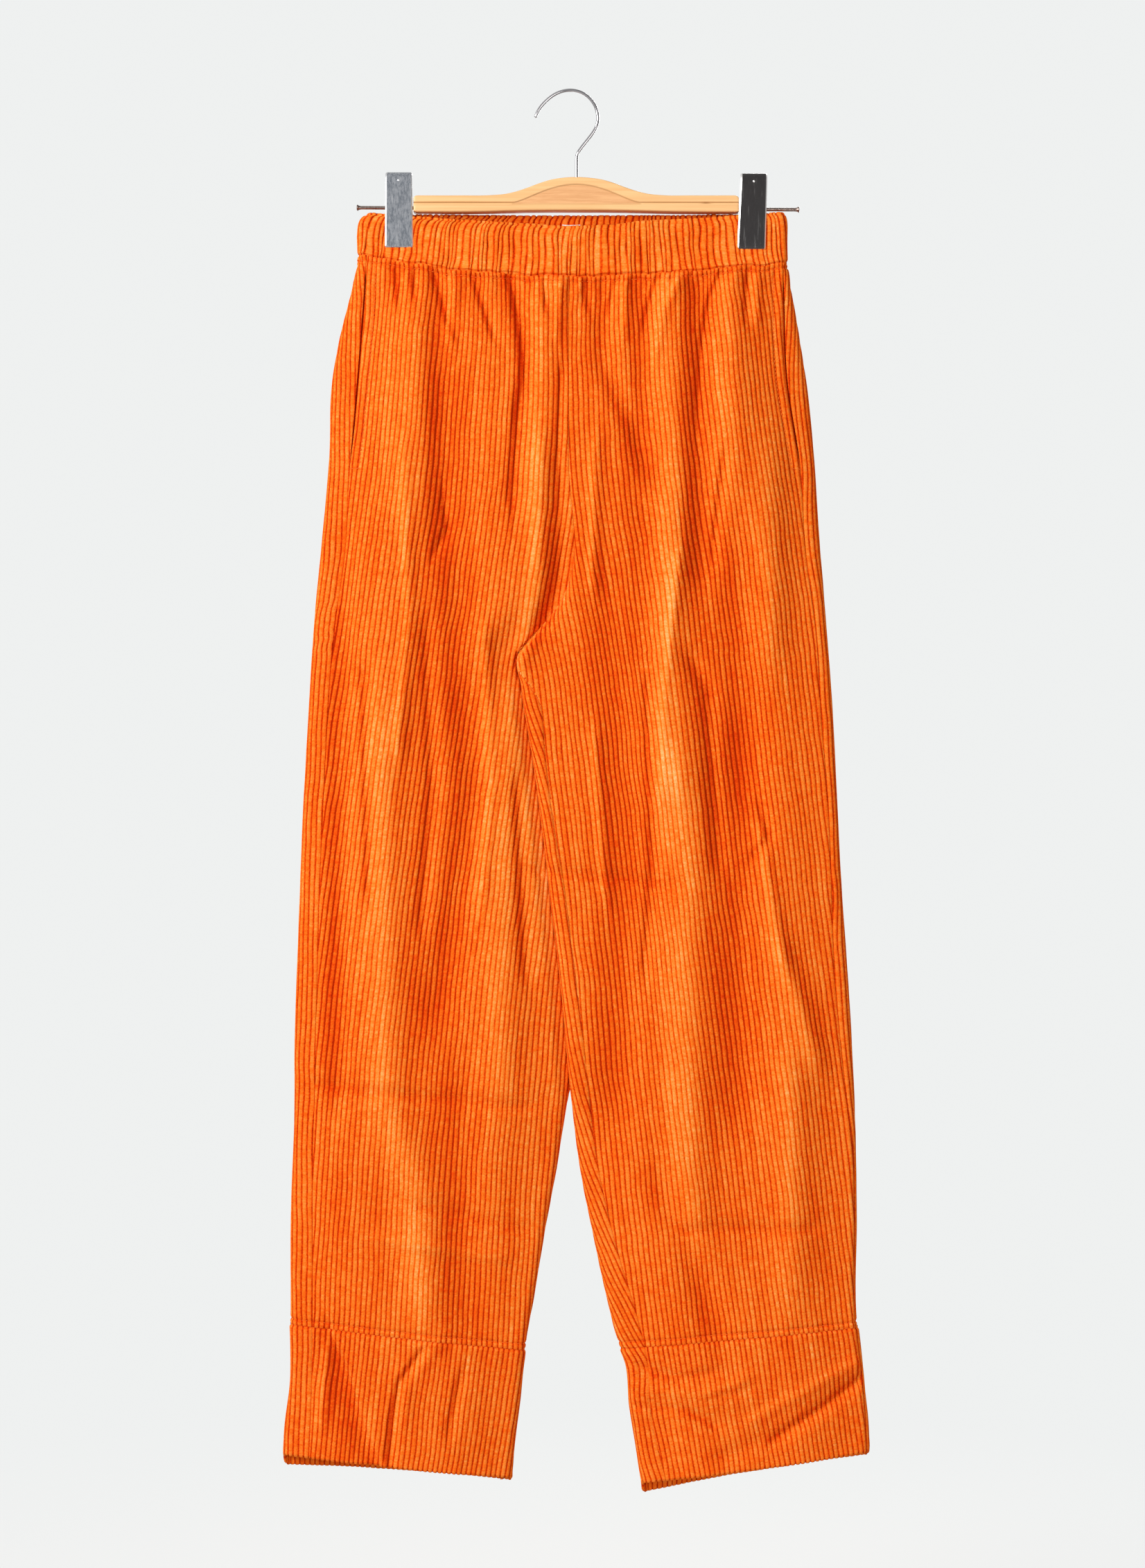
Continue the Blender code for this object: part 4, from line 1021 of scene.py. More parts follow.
class Shop:
    """Makes objects with Blender's own operators and dresses them."""

    @staticmethod
    def clear() -> None:
        """Leaves nothing selected and no object in edit mode."""
        if bpy.context.object and bpy.context.object.mode != "OBJECT":
            bpy.ops.object.mode_set(mode="OBJECT")
        bpy.ops.object.select_all(action="DESELECT")

    @classmethod
    def pick(cls, thing: Thing, *others: Thing) -> None:
        """Selects only these objects, and makes the first of them active."""
        cls.clear()
        for one in (*others, thing):
            one.select_set(True)
        bpy.context.view_layer.objects.active = thing

    @classmethod
    def blank(cls, name: str, across_it: int, down: int) -> Thing:
        """A flat grid primitive with no UVs, a metre either way."""
        cls.clear()
        bpy.ops.mesh.primitive_grid_add(x_subdivisions=across_it, y_subdivisions=down, size=1.0)
        thing = bpy.context.object
        thing.name = thing.data.name = name
        thing.data.uv_layers.remove(thing.data.uv_layers[0])
        return thing

    @classmethod
    def grid(
        cls,
        name: str,
        points: Array,
        attributes: Optional[Dict[str, Array]] = None,
        merge: float = 0.008,
        close: bool = False,
    ) -> Thing:
        """A sheet through a grid of points, as a shaped grid primitive.

        Args:
            name: the object's name.
            points: rows by columns by x, y, z in millimetres.
            attributes: vector values for each point, by name.
            merge: points closer than this, in millimetres, become one.
            close: whether the sheet closes on itself, so normals are made outward.

        Returns:
            The new object, at the origin with its place in its mesh.
        """
        rows, cols = points.shape[:2]
        thing = cls.blank(name, cols - 1, rows - 1)
        mesh = thing.data
        mesh.vertices.foreach_set("co", place(points.reshape(-1, 3)).astype(np.float32).ravel())
        for key, values in (attributes or {}).items():
            made = mesh.attributes.new(key, "FLOAT_VECTOR", "POINT")
            made.data.foreach_set("vector", values.reshape(-1, 3).astype(np.float32).ravel())
        bpy.ops.object.mode_set(mode="EDIT")
        bpy.ops.mesh.select_all(action="SELECT")
        bpy.ops.mesh.remove_doubles(threshold=merge * MM)
        bpy.ops.mesh.select_all(action="SELECT")
        bpy.ops.mesh.dissolve_degenerate(threshold=0.002 * MM)
        if close:
            cls.turn_out()
        bpy.ops.object.mode_set(mode="OBJECT")
        bpy.ops.object.shade_smooth()
        return thing

    @staticmethod
    def turn_out() -> None:
        """Turns every normal of the mesh in edit mode outward and leaves edit mode."""
        bpy.ops.mesh.select_all(action="SELECT")
        bpy.ops.mesh.normals_make_consistent(inside=False)
        bpy.ops.object.mode_set(mode="OBJECT")

    @staticmethod
    def dress(thing: Thing, material: Finish, slot: str) -> None:
        """Gives an object its finish and its body."""
        thing.data.materials.clear()
        thing.data.materials.append(material)
        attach(thing, "root")
        faces = thing.data.polygons
        area = sum(face.area for face in faces)
        LOG.info("%s: %d faces, %.4f square metres", thing.name, len(faces), area)

    @staticmethod
    def modify(thing: Thing, kind: str, **settings: Any) -> None:
        """Adds one modifier and applies it."""
        bpy.context.view_layer.objects.active = thing
        made = thing.modifiers.new(kind.title(), kind)
        for key, value in settings.items():
            setattr(made, key, value)
        bpy.ops.object.modifier_apply(modifier=made.name)

    @classmethod
    def tube(cls, name: str, path: Array, radii: Array, sides: int) -> Thing:
        """A closed round tube along a path.

        Args:
            name: the object's name.
            path: centres in millimetres.
            radii: the radius at each centre.
            sides: how many sides it has round it.

        Returns:
            The new object.
        """
        tangent = np.gradient(path, axis=0)
        tangent /= np.linalg.norm(tangent, axis=1, keepdims=True)
        flat = np.array((0.0, 1.0, 0.0))
        over = np.cross(tangent, flat)
        over /= np.linalg.norm(over, axis=1, keepdims=True)
        turn = np.arange(sides + 1) * 2 * math.pi / sides
        spoke = np.cos(turn)[None, :, None] * flat + np.sin(turn)[None, :, None] * over[:, None]
        points = path[:, None] + radii[:, None, None] * spoke
        ends = [np.repeat(path[k][None, None], sides + 1, axis=1) for k in (0, -1)]
        return cls.grid(name, np.concatenate((ends[0], points, ends[1])), close=True)


# Cloth

WALE_STEPS = np.array((0.0, 0.11, 0.27, 0.5, 0.73, 0.89))


def wale_relief(wale: Array, depth: float) -> Array:
    """Height of the pile over a wale coordinate, grooves at whole numbers."""
    share = np.abs(2 * (wale - np.floor(wale)) - 1)
    return depth * (0.42 - share**2.15)


@dataclass
class SeamEdge:
    """How a sheet ends at a seam: how deep it rolls in and its stitch line."""

    roll: float = 0.6
    reach: float = 2.0
    stitch: float = 0.0

    def dip(self, away: Array) -> Array:
        """Height to take off at a distance from the seam."""
        low = self.roll * np.clip(1 - away / self.reach, 0, 1) ** 2
        if self.stitch:
            low = low + 0.95 * bell(away - self.stitch, 1.0)
        return low

    def dark(self, away: Array) -> Array:
        """Painted shade along the seam's sunken stitches."""
        return 0.55 * bell(away - self.stitch, 0.9) if self.stitch else 0.0 * away


TURN_IN = ((0.35, 0.05), (0.9, 0.4), (1.5, 1.9))


@dataclass
class Panel:
    """One leg's front or back, from the waistband to the hem band."""

    leg: Leg
    face: Face
    sections: Sections
    top: float = 149.6
    bottom: float = 998.6
    depth: float = 0.80
    seed: int = 3

    def __post_init__(self) -> None:
        """Sets up its sides, the noise and the seam edges."""
        self.right = self.leg is Leg.RIGHT
        self.front = self.face is Face.FRONT
        self.noise = Drift(self.seed + 10 * (not self.right) + (not self.front))
        self.above = SeamEdge(stitch=WAIST_STITCH)
        self.below = SeamEdge(stitch=HEM_STITCH)

    @property
    def node(self) -> str:
        """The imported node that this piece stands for."""
        return f"{self.face.value}_panel_{self.leg.value}"

    @property
    def outseam(self) -> str:
        """Name of the leg's side seam."""
        return f"{self.leg.value}_outseam"

    def ends(self, drop: float) -> Tuple[str, str]:
        """Names of the seams that the panel runs between, round the section."""
        middle = f"{self.face.value}_rise" if drop <= CROTCH else f"{self.leg.value}_inseam"
        outer_first = self.front == self.right
        return (self.outseam, middle) if outer_first else (middle, self.outseam)

    def rows(self) -> Array:
        """Nominal drops of the rows, close together at both seams."""
        near = np.array((0.0, 0.8, 1.6, 2.7, 3.6, 4.3, 5.0, 5.9, 7.4, 10.0, 13.5, 17.0))
        middle = np.linspace(self.top + 20.5, self.bottom - 20.0, 190)
        rows = np.concatenate((self.top + near, middle, self.bottom - near[::-1]))
        return np.unique(np.round(rows, 3))

    def grain(self, ring: Ring) -> Tuple[float, float]:
        """Where the grain line crosses a section, and the spread there."""
        x = float(GRAIN.at(self.leg.value, ring.drop))
        spread = float(GRAIN.at("spread", ring.drop))
        if not self.front:
            return self.beside_seam(ring), 1 - 1.5 * (1 - spread)
        return ring.find(x, self.face), spread

    def beside_seam(self, ring: Ring) -> float:
        """A line that keeps its distance from the side seam, round the back."""
        return ring.marks[self.outseam] + (-78.0 if self.right else 78.0)

    def limits(self, ring: Ring) -> Tuple[float, float, float, float]:
        """Where the panel starts and ends round a section, its grain line and its spread."""
        a, b = (ring.marks[name] for name in self.ends(ring.drop))
        if b < a:
            b += ring.total
        grain, spread = self.grain(ring)
        if not a - 60 <= grain <= b + 60:
            grain += ring.total * (1 if grain < a else -1)
        return a, b, grain, spread

    def warp(self, across_it: Array, drop: float) -> Array:
        """Sideways shift of the wales, in millimetres, where they are dragged."""
        if self.front and not self.right:
            start = 5.0 * ease((drop - 362) / 110) * (1 - ease((drop - 640) / 220))
            return start * ease((-across_it - 45) / 62)
        return np.zeros_like(across_it)

    def sway(self, s: Array, drop: float) -> Array:
        """How far the wales wander sideways, more just below the waistband."""
        near = 1 + 1.8 * math.exp(-max(drop - WAIST, 0.0) / 28.0)
        wide = self.noise.patch(s / 23.0, drop / 34.0)
        fine = self.noise.patch(60 + s / 8.5, drop / 12.0)
        return near * (0.85 * wide + 0.26 * fine)

    def pocket_gap(self, drop: float) -> float:
        """How far the front edge stands open at the pocket."""
        t = (drop - SLIT_TOP) / (SLIT_FOOT - SLIT_TOP)
        return 1.9 * math.sin(math.pi * t) ** 0.6 if 0 < t < 1 else 0.0

    def fringe(self, s: Array, away: Array) -> Array:
        """Gathers below the waistband."""
        wave = self.noise.line(s / 5.2) * 1.25 + self.noise.line(40 + s / 9.5) * 1.1
        beads = self.noise.line(90 + s / 2.6) * 0.7
        return wave * bell(away - 5.0, 14.0) + beads * bell(away - 3.0, 4.5)

    def side_dips(self, start: Array, end: Array, drop: float) -> Array:
        """Rolled-in side seams and the pocket's stitching."""
        low = SeamEdge().dip(start) + SeamEdge().dip(end)
        low = low * (1 - 0.85 * self.over_fork(drop))
        if self.front:
            edge = start if self.right else end
            inside = ease((drop - SLIT_TOP + 6) / 6) * ease((SLIT_FOOT + 4 - drop) / 5)
            sunk = 0.9 * bell(edge - POCKET_STITCH, 0.9) - 0.8 * bell(edge - 2.4, 2.4)
            low = low + inside * sunk
            low = low + 0.7 * (bell(drop - SLIT_FOOT - 2, 1.6) * (edge < 9))
        return low

    def lapped(self, start: Array, drop: float) -> Array:
        """Roll of the left front's edge where it laps over the right front."""
        return 0.8 * self.over_fork(drop) * bell(start - 1.2, 2.6)

    def over_fork(self, drop: float) -> float:
        """From 0 to 1 where the front seam runs along the lapped edge below the fork."""
        if not self.front:
            return 0.0
        return float(ease((drop - FORK + 10) / 20) * (1 - ease((drop - CROTCH - 4) / 60)))

    def row(self, drop: float, count: int, first: int) -> Tuple[Array, Array]:
        """One row of points and their wale coordinates.

        Args:
            drop: the row's nominal drop.
            count: how many wales are laid out across.
            first: the number of the first wale, counted from the grain line.

        Returns:
            x, y, z of the row's points, and wale, drop and painted light and shade of each.
        """
        ring = self.sections.at(drop, self.leg)
        a, b, grain, spread = self.limits(ring)
        slit = self.pocket_gap(drop) if self.front else 0.0
        under = self.over_fork(drop) if self.right else 0.0
        a = a + (SEAM_GAP + (slit if self.right else 0.0))
        b = b - (SEAM_GAP + (0.0 if self.right else slit)) + 2.6 * under
        wale = (first + np.arange(count)[:, None] + WALE_STEPS[None, :]).ravel()
        sense = 1.0 if self.front else -1.0
        s = grain + wale * PITCH * spread
        s = s + self.warp(sense * (s - grain), drop)
        s = np.clip(s + self.sway(s, drop), a, b)
        wale = np.where((s > a) & (s < b), wale, (s - grain) / (PITCH * spread))
        base, normal = ring.read(ring.points, s), ring.read(ring.normals, s)
        normal /= np.linalg.norm(normal, axis=1, keepdims=True)
        start, end = s - a, b - s
        away_top, away_low = drop - self.top, self.bottom - drop
        gathers = self.fringe(s, away_top) * ease(away_top / 3)
        high = wale_relief(wale, self.depth)
        high = high * (1 + 0.22 * self.noise.patch(np.floor(wale), drop / 17.0)) + gathers
        high = high if self.right else high + self.lapped(start, drop)
        high = high + 0.5 * self.noise.line(s / 6.0) * bell(away_low - 4, 5.0)
        low = self.side_dips(start, end, drop) + 1.1 * under * ease((3.2 - end) / 1.6)
        low = low + self.above.dip(away_top) + self.below.dip(away_low)
        calm = mix(ease(np.minimum(start, end) / 3.0), 1.0, self.over_fork(drop))
        plan = base + normal * (high * (0.35 + 0.65 * calm) - low)[:, None]
        # Painted light and shade: paler on fold ridges and gathers, darker on slopes and sides that
        # turn right, away from the key light, paler beside the lapped edge and darker along the stitch
        # lines.
        slope = ring.read(np.gradient(ring.lift) / ring.step, s) * sense
        tone = self.shade(drop) * ring.read(ring.lift, s) / 7.8 + 0.26 * gathers
        tone = tone + np.clip(slope * np.where(slope < 0, 2.0, 0.75), -0.95, 0.3)
        tone = tone - 0.6 * np.clip(normal[:, 0] - 0.35, 0, 0.6) + self.fork_tone(base, start, drop)
        tone = np.clip(tone - self.above.dark(away_top) - self.below.dark(away_low), -1.1, 1.1)
        ends = [self.turned_in(plan[k], normal[k], drop, k) for k in (0, -1)]
        points = np.vstack((ends[0][::-1], settle(plan, drop, self.leg), ends[1]))
        return points, pad_ends(columns(wale, np.full(len(wale), drop), tone))

    @staticmethod
    def shade(drop: float) -> float:
        """How much the folds' height counts for the painted light and shade: less at the waist and on
        the bands.
        """
        return 0.55 if drop > 1000 else float(mix(0.8, 1.0, ease((drop - 190) / 60)))

    def fork_tone(self, base: Array, start: Array, drop: float) -> Array:
        """Painted highlight beside the lapped edge and where the fold below it ends."""
        if not self.right:
            return 0.7 * self.over_fork(drop) * bell(start - 1.2, 2.2)
        if not self.front:
            return np.zeros(len(base))
        beside = base[:, 0] - float(INNER.at("edge", drop)) + 5.0
        there = float(ease((drop - 455) / 30) * (1 - ease((drop - 600) / 160)))
        return 0.8 * there * bell(beside, 10.0)

    def turned_in(self, plan: Array, normal: Array, drop: float, k: int) -> Array:
        """Points that turn in behind the seam at one end of a row, k being 0 or -1."""
        side = np.array((-normal[1], normal[0])) * (-1.0 if k == 0 else 1.0)
        outer = 0 if self.front == self.right else -1
        if k == outer:
            side = side * (1 - 1.7 * min(1.0, self.pocket_gap(drop)))
        turned = np.array([plan - normal * depth + side * slip for depth, slip in TURN_IN])
        return settle(turned, drop, self.leg)

    def build(self) -> Thing:
        """Makes the sheet."""
        first, count = self.span()
        rows = [self.row(drop, count, first) for drop in self.rows()]
        points, values = (np.array(part) for part in zip(*rows))
        top, foot = self.tuck(points[0], True), self.tuck(points[-1], False)
        points = np.concatenate((top[::-1], points, foot))
        return Shop.grid(f"{self.node}_cloth", points, {"wale": pad_ends(values)})

    @staticmethod
    def tuck(row: Array, upward: bool) -> Array:
        """Rows that turn in behind a seam above or below."""
        inward = -np.sign(row[:, 1:2]) * (0.0, 1.0, 0.0)
        rise = np.array((0.0, 0.0, 1.0 if upward else -1.0))
        return np.array([row + inward * depth + rise * slip for depth, slip in TURN_IN])

    def stitch_row(self, drop: float) -> Line:
        """A line across the panel for stitches, with its outward normals."""
        first, count = self.span()
        points = self.row(drop, count, first)[0]
        return points[3:-3], HemBand.push(points)[3:-3]

    def pocket_row(self) -> Line:
        """The line of stitches inside the pocket's edge."""
        points, normals = [], []
        for drop in np.linspace(SLIT_TOP + 2, SLIT_FOOT + 1, 60):
            ring = self.sections.at(drop, self.leg)
            sign = 1.0 if self.right else -1.0
            s = np.array([ring.marks[self.outseam]])
            s = s + sign * (POCKET_STITCH + self.pocket_gap(drop))
            normal = ring.read(ring.normals, s)
            plan = ring.read(ring.points, s) - normal * 0.25
            points.append(settle(plan, drop, self.leg)[0])
            normals.append((normal[0, 0], normal[0, 1], 0.0))
        return np.array(points), np.array(normals)

    def tack_row(self) -> Line:
        """The short close row of stitches across the pocket's lower end."""
        drop = SLIT_FOOT + 1.5
        ring = self.sections.at(drop, self.leg)
        sign = 1.0 if self.right else -1.0
        s = ring.marks[self.outseam] + sign * np.linspace(0.2, 9.0, 12)
        normal = ring.read(ring.normals, s)
        points = settle(ring.read(ring.points, s) + normal * 0.15, drop, self.leg)
        return points, columns(normal, np.zeros(len(normal)))

    def span(self) -> Tuple[int, int]:
        """First wale and number of wales that cover the panel at every row."""
        low, high = 0.0, 0.0
        for drop in self.rows()[::6]:
            a, b, grain, spread = self.limits(self.sections.at(drop, self.leg))
            low = min(low, (a - grain) / (PITCH * spread))
            high = max(high, (b - grain) / (PITCH * spread))
        first = math.floor(low) - 5
        return first, math.ceil(high) + 5 - first


class HemBand(Panel):
    """The deep turned-up band at the foot of a leg's front or back."""

    def __init__(self, leg: Leg, face: Face, sections: Sections) -> None:
        """Places the band under the leg panel."""
        super().__init__(leg, face, sections, top=999.4, bottom=1105.8, seed=23)
        self.above = SeamEdge(roll=1.0, reach=1.8)
        self.below = SeamEdge(roll=0.0)

    @property
    def node(self) -> str:
        """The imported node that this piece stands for."""
        return f"hem_band_{self.face.value}_{self.leg.value}"

    def rows(self) -> Array:
        """Nominal drops of the rows."""
        near = np.array((0.0, 0.6, 1.3, 2.1, 3.2, 5.0, 7.5))
        return np.concatenate((self.top + near, np.linspace(self.top + 11, self.bottom, 28)))

    def grain(self, ring: Ring) -> Tuple[float, float]:
        """Where the grain line crosses a section, and the spread there."""
        x = float(BAND_GRAIN.at(self.leg.value, ring.drop))
        spread = float(BAND_GRAIN.at(f"{self.leg.value}_spread", ring.drop))
        if not self.front:
            return self.beside_seam(ring), 1.0
        return ring.find(x, self.face), spread

    def fringe(self, s: Array, away: Array) -> Array:
        """Slight puckers under the seam."""
        return 0.35 * self.noise.line(s / 7.0) * bell(away - 6.0, 9.0)

    def side_dips(self, start: Array, end: Array, drop: float) -> Array:
        """Rolled-in side seams."""
        return SeamEdge().dip(start) + SeamEdge().dip(end)

    def build(self) -> Thing:
        """Makes the sheet: down the outside, round the fold and up inside."""
        first, count = self.span()
        drops = self.rows()
        rows = [self.row(drop, count, first) for drop in drops]
        grown = []
        for drop, (points, _) in zip(drops, rows):
            out = 1.0 * (1 - ease((drop - 999) / 70))
            grown.append(points + self.push(points) * out)
        foot, push = grown[-1], self.push(grown[-1])
        radius = 1.25
        scallop = 0.95 * (wale_relief(rows[-1][1][:, 0], 1.0) + 0.58)
        for angle in np.linspace(0, math.pi, 8)[1:]:
            down = np.zeros_like(foot)
            down[:, 2] = -(radius + scallop) * math.sin(angle)
            grown.append(foot - push * radius * (1 - math.cos(angle)) + down)
        for drop in np.linspace(self.bottom, self.top + 2, 15)[1:]:
            k = float(np.interp(drop, drops, np.arange(len(drops))))
            low = int(min(k, len(drops) - 2))
            level = mix(grown[low], grown[low + 1], k - low)
            grown.append(level - self.push(level) * 2 * radius)
        values = [r[1] for r in rows]
        foot_values = values[-1]
        # The inside of the turned-up band gets painted shade, darker further in.
        for k in range(len(grown) - len(values)):
            inside = foot_values.copy()
            inside[:, 1] += 4.0 * (k + 1)
            inside[:, 2] = np.minimum(inside[:, 2], -0.1 - 0.05 * min(k, 8))
            values.append(inside)
        points = np.concatenate((self.tuck(grown[0], True)[::-1], np.array(grown)))
        values = pad_ends(np.array(values), 3, 0)
        return Shop.grid(f"{self.node}_cloth", points, {"wale": values})

    @staticmethod
    def push(points: Array) -> Array:
        """Outward direction at each point of a row."""
        steps = np.diff(points[3:-3, :2], axis=0)
        kernel = np.ones(9) / 9
        t = columns(
            *(np.convolve(np.pad(c, (4, 5), mode="edge"), kernel, "valid") for c in steps.T)
        )
        size = np.linalg.norm(t, axis=1)
        good = np.flatnonzero(size > 0.02)
        nearest = good[np.clip(np.searchsorted(good, np.arange(len(t))), 0, len(good) - 1)]
        t = pad_ends((t / np.maximum(size, 1e-6)[:, None])[nearest])
        return columns(t[:, 1], -t[:, 0], np.zeros(len(t)))


class PocketFacing(Panel):
    """The strip of cloth that closes a pocket's slit from inside."""

    def __init__(self, leg: Leg, sections: Sections) -> None:
        """Places the strip behind the slit."""
        super().__init__(leg, Face.FRONT, sections, depth=0.8, seed=41)
        self.above = self.below = SeamEdge(roll=0.0)

    @property
    def node(self) -> str:
        """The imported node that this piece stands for."""
        return f"pocket_facing_{self.leg.value}"

    def build(self) -> Thing:
        """Makes the sheet behind the slit."""
        points, values = [], []
        wale = np.arange(-2.7, 2.71, 0.1)
        for drop in np.linspace(SLIT_TOP + 1.5, SLIT_FOOT - 1.5, 46):
            ring = self.sections.at(drop, self.leg)
            s = ring.marks[self.outseam] + wale * PITCH
            normal = ring.read(ring.normals, s)
            low = wale_relief(wale, self.depth) - 2.2
            plan = ring.read(ring.points, s) + normal * low[:, None]
            points.append(settle(plan, drop, self.leg))
            # Painted shade: the strip behind the slit has a dark tone.
            values.append([(number + 90, drop, -0.75) for number in wale])
        return Shop.grid(f"{self.node}_cloth", np.array(points), {"wale": np.array(values)})


@dataclass
class Waistband:
    """Elastic casing: one long strip drawn up into uneven ridges, folded at the top."""

    ridges: int = 158
    columns: int = 1680
    roll: float = 1.4
    rise: float = 2.0
    fan: float = 5.0

    def __post_init__(self) -> None:
        """Lays out where the ridges begin at the top and at the bottom."""
        self.noise = Drift(77)
        random = np.random.RandomState(11)
        own = random.uniform(0.6, 1.4, self.ridges)
        self.tops = self.edges(own)
        self.feet = self.shifted(random)
        self.lining = self.shifted(random)
        self.tall = random.uniform(0.72, 1.2, self.ridges)

    @staticmethod
    def edges(widths: Array) -> Array:
        """Running share of the way round at the start of each ridge."""
        return np.concatenate(([0.0], np.cumsum(widths))) / widths.sum()

    def shifted(self, random: np.random.RandomState) -> Array:
        """The ridges' starts, each moved a little, for the other end of the ridges."""
        moved = self.tops.copy()
        moved[1:-1] += random.uniform(-0.34, 0.34, self.ridges - 1) / self.ridges
        return np.sort(moved)

    def level(self, x: Array, share: float, side: int) -> Array:
        """Distance of the band from its middle plane, at a share of its height."""
        middle, half = (CLIP_X[0] + CLIP_X[1]) / 2, (CLIP_X[1] - CLIP_X[0]) / 2
        opened = np.clip(1 - ((x - middle) / half) ** 2, 0, 1)
        pinched = 4.3 + (6.5 if side < 0 else 4.5) * opened
        left, right = OUTLINE.at("left", WAIST), OUTLINE.at("right", WAIST)
        depth = OUTLINE.at("front" if side < 0 else "back", WAIST)
        sides = Sections.level(x, left, depth, 1), Sections.level(x, right, depth, -1)
        return mix(pinched, np.minimum(*sides), share**8)

    def ring(self, share: float, at: Array) -> Tuple[Array, Array]:
        """Points and normals round the band.

        Args:
            share: how far down the band, from 0 at the top to 1 at the seam.
            at: shares of the way round.

        Returns:
            The points and their outward normals, level.
        """
        corner = 6.5 * (1 - round_off(np.array(share), 0.3))
        left, right = -171.0 + corner, 171.6 - 0.4 * corner
        x = across(left, right, 500)
        reach = mix(4.5, EDGE, share**8)
        rounded = round_off(np.minimum(x - left, right - x), reach)
        front, rear = -self.level(x, share, -1) * rounded, self.level(x, share, 1) * rounded
        points = np.vstack((columns(x, front), columns(x, rear)[::-1][1:-1]))
        loop = np.vstack((points, points[:1]))
        run = lengths(loop)
        plan = read_line(loop, run, np.arange(1200) * run[-1] / 1200)
        spot = np.asarray(at) % 1.0 * 1200
        normal = read_ring(outward(plan, 2), spot)
        return read_ring(plan, spot), normal / np.linalg.norm(normal, axis=1, keepdims=True)

    def phase(self, at: Array, share: float, inside: bool) -> Array:
        """Which ridge each point is on, with its place across it."""
        x = np.where(at < 0.5, 4 * at - 1, 3 - 4 * at)
        lean = self.fan * x * (1 - np.abs(x) ** 6) * np.where(at < 0.5, 1.0, -1.0) / 690.0
        at = np.clip(at - (0.0 if inside else lean * (share - 0.3)), 0.0, 1.0)
        n = np.arange(self.ridges + 1.0)
        top = np.interp(at, self.tops, n)
        foot = np.interp(at, self.lining if inside else self.feet, n)
        waver = 0.20 * self.noise.patch(at * 62, share * 1.5 + 20 * inside)
        waver = waver + 0.09 * self.noise.patch(at * 130, share * 4.0 + 9)
        ends = ease(np.minimum(at, 1 - at) / 0.004)
        return mix(top, foot, share) + waver * ease(share * 8) * ends

    def relief(self, phase: Array, share: float, inside: bool) -> Array:
        """Height of the ridges, some of whose grooves fade and join."""
        index = np.clip(np.floor(phase).astype(int), 0, self.ridges - 1)
        f = phase - np.floor(phase)
        shape = np.clip(1 - np.abs(2 * f - 1) ** 2.6, 0, 1) ** 0.6
        groove = index + (f > 0.5)
        deep = ease(0.55 + 0.8 * self.noise.patch(groove * 7.31, share * 2.3 + 9 * inside))
        deep = 0.28 + 0.80 * deep
        return self.rise * (0.5 * self.tall[index] + 0.5) * (1 - (1 - shape) * deep) - 0.55

    def height(self, plan: Array, at: Array, phase: Array, share: float, inside: bool) -> Array:
        """Ridges, broad swells and the press of the clips."""
        clips = sum(bell(plan[:, 0] - x, 10.5) for x in CLIP_X)
        held = 1 - 0.5 * np.clip(clips, 0, 1) * (1 - ease((share - 0.55) / 0.25))
        swell = 0.75 * self.noise.patch(at * 27, share * 1.7 + 5)
        swell = swell * (1 - np.clip(clips, 0, 1)) * (0.0 if inside else 1.0)
        foot = round_off((1 - share) * 40 + 0.35, 2.2) if not inside else 1.0
        return (self.relief(phase, share, inside) * held + swell + 0.8) * foot - 0.8

    def row(self, share: float, inside: bool, angle: float) -> Tuple[Array, Array]:
        """One row of points round the band, and their ridge coordinates.

        Args:
            share: how far down the band, from 0 at the top to 1 at the seam.
            inside: whether the row is on the turned-in layer.
            angle: how far round the fold at the top, from 0 outside to pi inside.

        Returns:
            x, y, z of the row's points, and ridge, drop and painted light and shade of each.
        """
        at = np.linspace(0, 1, self.columns + 1)
        plan, normal = self.ring(share, at)
        x, y = plan.T
        phase = self.phase(at, share, inside)
        high = self.height(plan, at, phase, share, inside)
        front = 109.2 - 11.0 * np.abs(x / 165) ** 1.4 + 1.8 * bell(x - 2, 34)
        top = mix(front, 98.9, ease((y + 3) / 6))
        low = WAIST + waist_sag(x, y) - 0.5 + waist_waver(x, y)
        drop = mix(top + self.roll, low, share)
        out = (self.roll + high) * math.cos(angle) - self.roll
        up = (self.roll + 0.75 * high) * math.sin(angle)
        # Painted light and shade: ridge crowns paler, grooves darker, the turned-in layer darker still.
        tone = np.clip(-0.14 + 0.30 * high - 0.5 * inside, -1.1, 0.5)
        points = columns(plan + normal * out[:, None], up - drop)
        return points, columns(phase, drop - up + 60 * inside, tone)

    def build(self) -> Thing:
        """Makes the band: up the outside, over the fold and down the inside."""
        outside = (1.0, 0.985, 0.965, 0.94, 0.905, 0.86, *np.linspace(0.81, 0.03, 16), 0.0)
        inside = (0.0, 0.05, 0.12, 0.22, 0.36, 0.56, 0.78, 1.0)
        steps = [(share, False, 0.0) for share in outside]
        steps += [(0.0, angle > math.pi / 2, angle) for angle in np.linspace(0, math.pi, 8)[1:-1]]
        steps += [(share, True, math.pi) for share in inside]
        rows, values = (np.array(part) for part in zip(*(self.row(*step) for step in steps)))
        rows = np.concatenate((Panel.tuck(rows[0], False)[::-1], rows))
        return Shop.grid("waistband_cloth", rows[::-1], {"wale": pad_ends(values, 3, 0)[::-1]})


